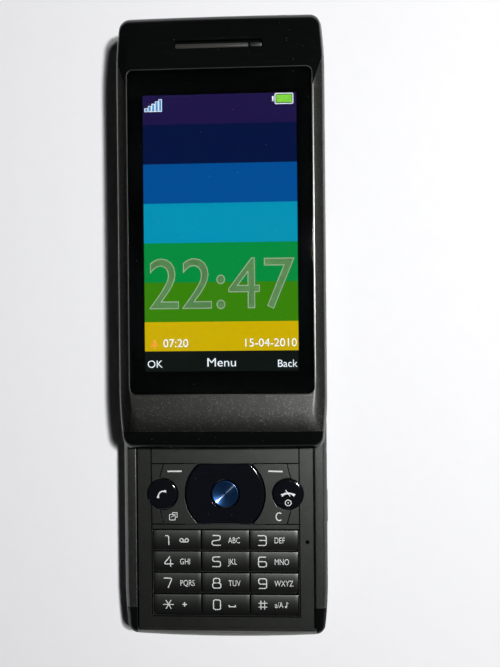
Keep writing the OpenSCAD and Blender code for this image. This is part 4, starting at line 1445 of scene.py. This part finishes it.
LEGENDS: tuple[tuple[str, str, str], ...] = (
    ("key_1", "1", "tape"), ("key_2", "2", "ABC"), ("key_3", "3", "DEF"),
    ("key_4", "4", "GHI"), ("key_5", "5", "JKL"), ("key_6", "6", "MNO"),
    ("key_7", "7", "PQRS"), ("key_8", "8", "TUV"), ("key_9", "9", "WXYZ"),
    ("key_star", "*", "plus"), ("key_0", "0", "space"), ("key_hash", "#", "a/A"))

# The figures' paths in parts of their width and height, and whether each path closes.
FIGURES: dict[str, tuple[tuple[tuple[Point, ...], bool], ...]] = {
    "0": ((((0.1, 0), (0.9, 0), (0.9, 1), (0.1, 1)), True),),
    "1": ((((0.2, 0.97), (0.6, 0.97), (0.6, 0)), False),),
    "2": ((((0.08, 1), (0.95, 1), (0.95, 0.55), (0.0, 0.45), (0.0, 0), (1, 0)), False),),
    "3": ((((0, 1), (0.95, 1), (0.95, 0), (0, 0)), False), (((0.15, 0.52), (0.9, 0.52)), False)),
    "4": ((((1.1, 0.27), (0, 0.27), (0.72, 1.02)), False), (((0.78, 0.75), (0.78, -0.02)), False)),
    "5": ((((0.92, 1), (0.05, 1), (0.05, 0.55), (0.95, 0.55), (0.95, 0), (0, 0)), False),),
    "6": ((((0.9, 1), (0.05, 1), (0.05, 0), (0.95, 0), (0.95, 0.55), (0.05, 0.55)), False),),
    "7": ((((0, 1), (0.95, 1), (0.45, 0)), False),),
    "8": ((((0.12, 0.54), (0.12, 1), (0.86, 1), (0.86, 0.54)), True),
          (((0.02, 0), (0.96, 0), (0.96, 0.54), (0.02, 0.54)), True)),
    "9": ((((0.06, 0), (0.95, 0), (0.95, 1), (0.05, 1), (0.05, 0.45), (0.95, 0.45)), False),),
    "*": ((((-0.1, 0.5), (1.1, 0.5)), False), (((0.2, 0.04), (0.8, 0.96)), False),
          (((0.2, 0.96), (0.8, 0.04)), False)),
    "#": ((((0.28, 0.05), (0.28, 0.95)), False), (((0.7, 0.05), (0.7, 0.95)), False),
          (((0, 0.3), (1, 0.3)), False), (((0, 0.7), (1, 0.7)), False)),
}


@dataclass
class KeyField:
    """The deck, the raised plate round the keys and the twelve number keys."""

    edge: float = 0.1
    fall: float = 0.55
    crown: float = 0.3
    seam: float = 0.3
    # depth below the keys' top of the painted shade strips in the seams
    seam_shade_depth: float = 0.53
    seam_floor: float = 0.55
    plate_floor: float = 0.6
    nav_gap: float = 0.1
    row_gap: float = 0.12
    # ring of painted shade laid in the microphone hole
    hole_shade: Circle = Circle((0.0, 0.0), 0.36, 0.26)
    plate_edge: float = 0.03
    key_margin: float = 0.32
    digit_size: Point = (2.15, 2.45)
    digit_left: Place = (2.45, 2.5, 1.85)
    letters_at: Point = (3.95, -0.62)
    letter_size: float = 2.1
    line: float = 0.25

    def face(self, low: Array, high: Array, y: Array) -> Array:
        """Gives the height of a number key's face, which is crowned above its middle.

        Args:
            low: Lowest corner of the key.
            high: Highest corner of the key.
            y: Places along the key.

        Returns:
            Heights: the top less fall times the square of the distance from the crown, where
            the distance is 1 at the foot.
        """
        part = (high[1] - y) / (high[1] - low[1])
        return high[2] - self.fall * ((part - self.crown) / (1 - self.crown)) ** 2

    def row(self, start: float, end: float, count: int) -> tuple[Array, Array]:
        """Spreads places over a key, close together at the rounded edges.

        Args:
            start: First place.
            end: Last place.
            count: How many places divide the flat part, with both its ends.

        Returns:
            The places, and how far the face falls there: a quarter circle at each edge, and
            no end to it at the upright sides.
        """
        bend = np.linspace(0, QUARTER_TURN, 5)
        inset, drop = self.edge * (1 - np.cos(bend)), self.edge * (1 - np.sin(bend))
        middle = np.linspace(start + self.edge, end - self.edge, count)[1:-1]
        places = np.concatenate([[start], start + inset, middle, (end - inset)[::-1], [end]])
        return places, np.concatenate([[np.inf], drop, 0 * middle, drop[::-1], [np.inf]])

    def key(self, node: str, low: Array, high: Array) -> None:
        """Makes the key of a node's box as a grid with rounded edges and upright sides."""
        x, fall_x = self.row(low[0], high[0], 14)
        y, fall_y = self.row(low[1], high[1], 18)
        falls = np.maximum(fall_x[None, :], fall_y[:, None])
        z = np.where(np.isinf(falls), low[2], self.face(low, high, y)[:, None] - falls)
        grid = np.stack([np.broadcast_to(x[None, :], z.shape),
                         np.broadcast_to(y[:, None], z.shape), z], -1)
        rows, columns = z.shape
        numbers = np.arange(rows * columns).reshape(rows, columns)
        rim = np.concatenate([numbers[0], numbers[1:, -1], numbers[-1, -2::-1],
                              numbers[-2:0:-1, 0]])
        faces = quads(rows, columns, False).tolist() + [rim[::-1].tolist()]
        dress(put(node + "_cap", grid, faces, 50), KEY_FACE, Slot.NUMBER_KEYS, node, node)

    def build(self) -> None:
        """Makes the deck, the plate and the keys with their legends."""
        self.plates()
        for index, (node, digit, letters) in enumerate(LEGENDS):
            low, high = box_mm(node)
            self.key(node, low, high)
            marks = Marks(lambda x, y, a=low, b=high: self.face(a, b, y))
            left = low[0] + self.digit_left[index % 3]
            middle = (low[1] + high[1]) / 2
            self.digit(marks, digit, (left, middle - self.digit_size[1] / 2))
            signs = SIGNS.get(letters, (Words(letters, self.letter_size, (0.0, -0.05),
                                              squeeze=0.73),))
            if "/" in letters:
                signs += SIGNS["note"]
            marks.draw((left + self.letters_at[0], middle + self.letters_at[1]), *signs)
            dress(marks.piece(node + "_legend"), LEGEND, Slot.NUMBER_KEYS, node)

    def digit(self, marks: Marks, digit: str, foot: Point) -> None:
        """Draws a figure with rounded corners, or a thinner sign with plain ones."""
        width, rounding = (self.line * 0.8, 0.0) if digit in "*#" else (self.line, 0.55)
        marks.draw(foot, *(Line(np.array(path) * self.digit_size, width, rounding, closed)
                           for path, closed in FIGURES[digit]))

    def plates(self) -> None:
        """Makes the deck and, set into it with a fine seam, the plate round the keys, with painted
        shade: dark strips on the floors of the seams and a dark ring in the microphone hole.
        """
        first, last = box_mm("key_star")[0], box_mm("key_hash")[1]
        nav_low, nav_high = box_mm("nav_ring")
        top, seam = last[2], self.seam
        low = np.array([first[0] - self.key_margin, first[1] - self.key_margin,
                        top - self.plate_floor])
        high = np.array([last[0] + self.key_margin, 0.0, top + PAST])
        deck = eased_node("keypad_deck", "satin_deck", 0.0)
        inset = kept(deck, "key_surround", bar(low + (0, 0, 0.02), high))
        carve(deck, bar(low - (seam, seam, 0), high + (seam, seam, 0)))
        left, right, foot = low[0] - seam / 2, high[0] + seam / 2, low[1] - seam / 2
        # the seams' floors get dark strips of painted shade
        lines = [Line(((left, high[1]), (left, foot), (right, foot), (right, high[1])), seam)]
        for y in (nav_high[1] + self.nav_gap, nav_low[1] - self.nav_gap,
                  box_mm("key_1")[1][1] + self.row_gap):
            carve(inset, bar((low[0] - 1, y - seam / 2, top - self.seam_floor),
                             (high[0] + 1, y + seam / 2, top)))
            lines += [Line(((side * high[0], y), (side * nav_high[0] * 1.02, y)), seam)
                      for side in (-1, 1)]
        # painted shade: dark strips on the seams' floors and a dark ring in the microphone hole,
        # where shade falls
        for name, height, lift, at, items in (
                ("surround_seam_shade", top - self.seam_shade_depth, 0.0, (0.0, 0.0), lines),
                ("microphone_shade", box_mm("keypad_deck")[1][2], 0.004,
                 round_mm("microphone")[0][:2], [self.hole_shade])):
            marks = Marks(level(height), lift)
            marks.draw(at, *items)
            dress(marks.piece(name), BLACK_PRINT_AND_SHADE, Slot.DECK, BASE)
        ease(deck, self.plate_edge)
        dress(deck, DECK, Slot.DECK, BASE, "keypad_deck")
        ease(inset, self.plate_edge)
        dress(inset, ROCKER_FACE, Slot.DECK, BASE)


@dataclass
class NavigationKeys:
    """The dished ring, the spun select key, the two round keys and the rocker keys."""

    edge: float = 0.45
    bore: float = 0.2
    bore_gap: float = 0.3
    dish_reach: float = 5.4
    dish_radius: float = 6.9
    dish_wall: float = 0.7
    dish_depth: float = 0.3
    dome: float = 0.42
    rocker_edge: float = 0.06
    lift: float = 0.015
    dash: float = 0.36
    select_rim: tuple[Point, ...] = ((1, 0.3), (0.995, 0.14), (0.97, 0.05), (0.93, 0.03))
    select_dish: Point = (0.04, 0.26)
    select_reach: float = 0.9
    axis: float = 0.004

    def __post_init__(self) -> None:
        """Reads the keys' places."""
        self.ring_low, self.ring_high = box_mm("nav_ring")
        middle, self.select_radius = round_mm("select_key")
        self.at = middle[1]

    def ring(self) -> bpy.types.Object:
        """Makes the ring on rows of radius and columns of angle.

        The outer reach at an angle is the ring's radius, or less where the flat ends cut it.
        The height is the top, less a quarter circle at each edge, less a smooth dish in each
        end.

        Returns:
            The ring.
        """
        angle = np.linspace(0, FULL_TURN, 240, endpoint=False)[None, :]
        flat = self.ring_high[1] - self.at
        outer = np.minimum(self.ring_high[0], flat / np.maximum(np.abs(np.sin(angle)), 1e-6))
        inner = self.select_radius + self.bore_gap
        bend = np.linspace(0, QUARTER_TURN, 7)[:, None]
        inset, drop = 1 - np.cos(bend), 1 - np.sin(bend)
        part = np.linspace(0, 1, 22)[1:-1, None]
        across = (outer - self.edge) * (1 - part) + (inner + self.bore) * part
        fall = inner + self.bore * inset[::-1] + 0 * angle
        radius = np.concatenate([outer, outer - self.edge * inset, across, fall,
                                 inner + 0 * angle])
        upright = [[np.inf]]
        falls = np.concatenate([upright, self.edge * drop, 0 * part, self.bore * drop[::-1],
                                upright])
        x, y = radius * np.cos(angle), radius * np.sin(angle)
        off = self.dish_radius - np.hypot(x, np.abs(y) - flat - self.dish_reach)
        step = np.clip(off / self.dish_wall, 0, 1)
        dish = self.dish_depth * step ** 2 * (3 - 2 * step)
        z = np.where(np.isinf(falls), self.ring_low[2], self.ring_high[2] - falls - dish)
        return tube("navigation_ring", np.stack([x, y + self.at, z], -1), 50)

    def button(self, name: str, node: str, rows: Sequence[Sequence[float]]) -> bpy.types.Object:
        """Turns a profile of radius parts and drops from the top about a key's middle.

        Args:
            name: Name of the piece.
            node: The CAD node.
            rows: Parts of the radius, and drops below the top.

        Returns:
            The piece.
        """
        low, high = box_mm(node)
        middle, radius = round_mm(node)
        profile = np.array(rows, float) * (radius, -1) + (0, high[2])
        foot = np.array([[profile[0, 0], low[2]]])
        return skin(name, disc_rings(np.concatenate([foot, profile]), middle), sharp=50)

    def build(self) -> None:
        """Makes all the navigation keys and their signs."""
        dress(self.ring(), KEY_GLOSS, Slot.GLOSS, "nav_ring", "nav_ring")
        edge, depth = self.select_dish
        dish = [(p, edge + depth * (1 - (p / self.select_reach) ** 2))
                for p in np.linspace(self.select_reach, self.axis, 16).tolist()]
        select = self.button("select_disc", "select_key", [*self.select_rim, *dish])
        # the spun metal carries a painted highlight fan in its colour
        dress(select, Spun("blue_spun_metal_and_painted_glint", srgb(50, 100, 165), 0.22, depth=0.01,
                           metallic=0.85, centre=(0.0, float(self.at), 0.0),
                           radius=float(self.select_radius)),
              Slot.SELECT, "select_key", "select_key")
        curve = np.linspace(0, QUARTER_TURN, 14)
        dome = [(math.cos(a), self.dome * (1 - math.sin(a))) for a in curve.tolist()][:-1]
        for node in ("call_key", "end_key"):
            key = self.button(node + "_dome", node, [*dome, (self.axis, 0.0)])
            dress(key, KEY_GLOSS, Slot.GLOSS, node, node)
            self.handset(node)
        for node in ("soft_rocker_left", "soft_rocker_right"):
            dress(eased_node(node, node + "_face", self.rocker_edge), ROCKER_FACE,
                  Slot.SIDE_KEYS, node, node)
        self.rocker_signs()

    def handset(self, node: str) -> None:
        """Draws the handset sign on one of the round keys."""
        middle, radius = round_mm(node)
        top = box_mm(node)[1][2]

        def height(x: Array, y: Array) -> Array:
            """Gives the dome's height: its fall is one less the sine of the arc's angle."""
            part = np.clip(np.hypot(x - middle[0], y - middle[1]) / radius, 0, 1)
            return top - self.dome * (1 - np.sqrt(1 - part ** 2))

        marks = Marks(height, self.lift)
        t = np.linspace(-1, 1, 17)
        thick = 0.3 + 0.28 * np.clip(np.abs(t) * 3 - 1.8, 0, 1)
        if node == "call_key":
            turn = math.radians(38)
            spin = np.array([[math.cos(turn), math.sin(turn)],
                             [-math.sin(turn), math.cos(turn)]])
            arc = np.stack([t * 1.3, 0.75 * (1 - t ** 2)], 1) @ spin
            marks.draw(middle[:2], Line(arc - (0.05, 0.15), thick))
        else:
            arc = np.stack([t * 1.6, 0.55 * (1 - t ** 2)], 1)
            marks.draw(middle[:2], Line(arc - (0.0, 0.3), thick + 0.1), *SIGNS["power"])
        dress(marks.piece(node + "_sign"), WHITE_LEGEND, Slot.GLOSS, node)

    def rocker_signs(self) -> None:
        """Draws the dashes, the window sign and the letter on the rocker keys."""
        around = np.radians(np.linspace(50, 310, 24))
        letter = Line(np.stack([np.cos(around) * 0.78, np.sin(around) * 0.95], 1), 0.26)
        top = box_mm("soft_rocker_left")[1][2]
        for side, dash, sign_x, signs in (
                ("left", ((-14.1, 5.55), (-10.6, 5.6)), -12.75, SIGNS["windows"]),
                ("right", ((10.6, 5.6), (14.1, 5.5)), 13.2, (letter,))):
            marks = Marks(level(top), self.lift)
            marks.draw((0.0, self.at), Line(dash, self.dash))
            marks.draw((sign_x, self.at - 5.5), *signs)
            dress(marks.piece(side + "_rocker_signs"), LEGEND, Slot.SIDE_KEYS,
                  "soft_rocker_" + side)


@dataclass
class BackFittings:
    """What shows on the back and the sides: camera, grille, lamp and side keys."""

    rounded: tuple[tuple[str, str, float, Finish, Slot, str], ...] = (
        ("camera_ring", "camera_ring_turned", 0.25, RING_METAL, Slot.RING, BASE),
        ("volume_key", "volume_rocker", 0.22, SIDE_METAL, Slot.SIDE_KEYS, "volume_key"),
        ("shutter_key", "camera_release", 0.22, SIDE_METAL, Slot.SIDE_KEYS, "shutter_key"),
        ("speaker_grille", "speaker_bars", 0.1, SPEAKER_MESH, Slot.PLASTIC, BASE))
    pane: tuple[Point, ...] = (
        (0.01, -0.12), (0.5, -0.1), (0.85, -0.02), (0.97, 0.08), (1.0, 0.2))
    barrel: tuple[Point, ...] = (
        (0.02, 0.6), (1.9, 0.75), (2.0, 0.55), (2.6, 0.5), (2.9, 0.04), (4.3, 0.03))

    def build(self) -> None:
        """Makes the rounded copies, the camera's glass and the barrel behind it."""
        for node, name, width, finish, slot, body in self.rounded:
            dress(eased_node(node, name, width), finish, slot, body, node)
        low, high = box_mm("camera_window")
        middle, radius = round_mm("camera_window")
        front = [(part * radius, low[2] + rise) for part, rise in self.pane]
        pane = np.array([*front, (radius, high[2]), (0.01 * radius, high[2])])
        dress(skin("camera_pane", disc_rings(pane, middle)), LENS, Slot.LENS, BASE,
              "camera_window")
        rings = disc_rings(np.array(self.barrel) + (0, high[2]), middle)
        dress(skin("camera_barrel", rings, high=False), BLACK_PLASTIC, Slot.PLASTIC, BASE)


# ---------------------------------------------------------------- the studio


@dataclass
class Studio:
    """The pale floor, the lamps, the surrounding light and the camera."""

    camera_at: Place = (0.01646, 0.00036, 0.20301)
    camera_rows: tuple[Place, ...] = (
        (0.998647, 0.00915, 0.051199), (-0.009457, 0.999939, 0.005756),
        (-0.051143, -0.006233, 0.998672))
    lens: float = 43.178
    lamps: tuple[tuple[str, Place, float, float], ...] = (
        ("key_lamp", (0.19, 0.06, 0.45), 0.03, 2.0),
        ("far_lamp", (0.65, 0.19, 1.5), 0.12, 8.2))
    overhead: float = 0.005
    horizon: float = 0.17
    fade: Point = (0.03, 0.2)
    floor_reach: float = 1600.0
    floor_drop: float = 0.02

    def camera(self) -> None:
        """Sets up the camera where the photograph was taken from."""
        made = link("camera", bpy.data.cameras.new("camera"))
        made.data.lens, made.data.sensor_width = self.lens, 36.0
        made.data.clip_start, made.data.clip_end = 0.01, 20
        turn = Matrix(self.camera_rows).to_4x4()
        made.matrix_world = Matrix.Translation(self.camera_at) @ turn
        bpy.context.scene.camera = made

    def build(self) -> None:
        """Makes the camera, the floor, the lamps and the world.

        Each lamp is a small square that looks at the middle of the phone.
        """
        self.camera()
        reach = self.floor_reach
        floor = sheet("floor", (-reach, -reach), (reach, reach), -self.floor_drop)
        paint(floor, FLOOR)
        for name, at, size, watts in self.lamps:
            data = bpy.data.lights.new(name, "AREA")
            data.size, data.energy = size, watts
            turn = (-Vector(at)).to_track_quat("-Z", "Y").to_matrix().to_4x4()
            link(name, data).matrix_world = Matrix.Translation(at) @ turn
        self.surroundings()

    def surroundings(self) -> None:
        """Makes the world: lighter near the horizon and dim overhead.

        The sine of a direction's height, from 0 at the horizon to 1 overhead, picks the tone.
        """
        world = bpy.data.worlds.new("studio")
        bpy.context.scene.world = world
        world.use_nodes = True
        nodes, links = world.node_tree.nodes, world.node_tree.links
        nodes.clear()
        split = nodes.new("ShaderNodeSeparateXYZ")
        ramp = nodes.new("ShaderNodeValToRGB")
        links.new(nodes.new("ShaderNodeTexCoord").outputs["Generated"], split.inputs[0])
        links.new(split.outputs[2], ramp.inputs[0])
        for step, position, tone in zip(ramp.color_ramp.elements, self.fade,
                                        (self.horizon, self.overhead)):
            step.position, step.color = position, (tone, tone, tone, 1)
        light = nodes.new("ShaderNodeBackground")
        links.new(ramp.outputs[0], light.inputs["Color"])
        links.new(light.outputs[0], nodes.new("ShaderNodeOutputWorld").inputs["Surface"])


def paint_nodes() -> None:
    """Gives every CAD node that stays its finish."""
    for finish, names in NODE_FINISH:
        for name in names:
            paint(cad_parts[name], finish)
            LOG.info("%s is painted %s", name, finish.name)


def main() -> None:
    """Builds the studio and the phone."""
    logging.basicConfig(level=logging.INFO, format="%(name)s: %(message)s")
    bpy.context.scene.view_settings.view_transform = "Standard"
    Studio().build()
    paint_nodes()
    for part in (FrontShell(), BackOfDisplayHalf(), Window(), EarSlot(), Housing(), KeyField(),
                 NavigationKeys(), BackFittings()):
        part.build()
    bpy.context.view_layer.update()


if __name__ == "__main__":
    main()
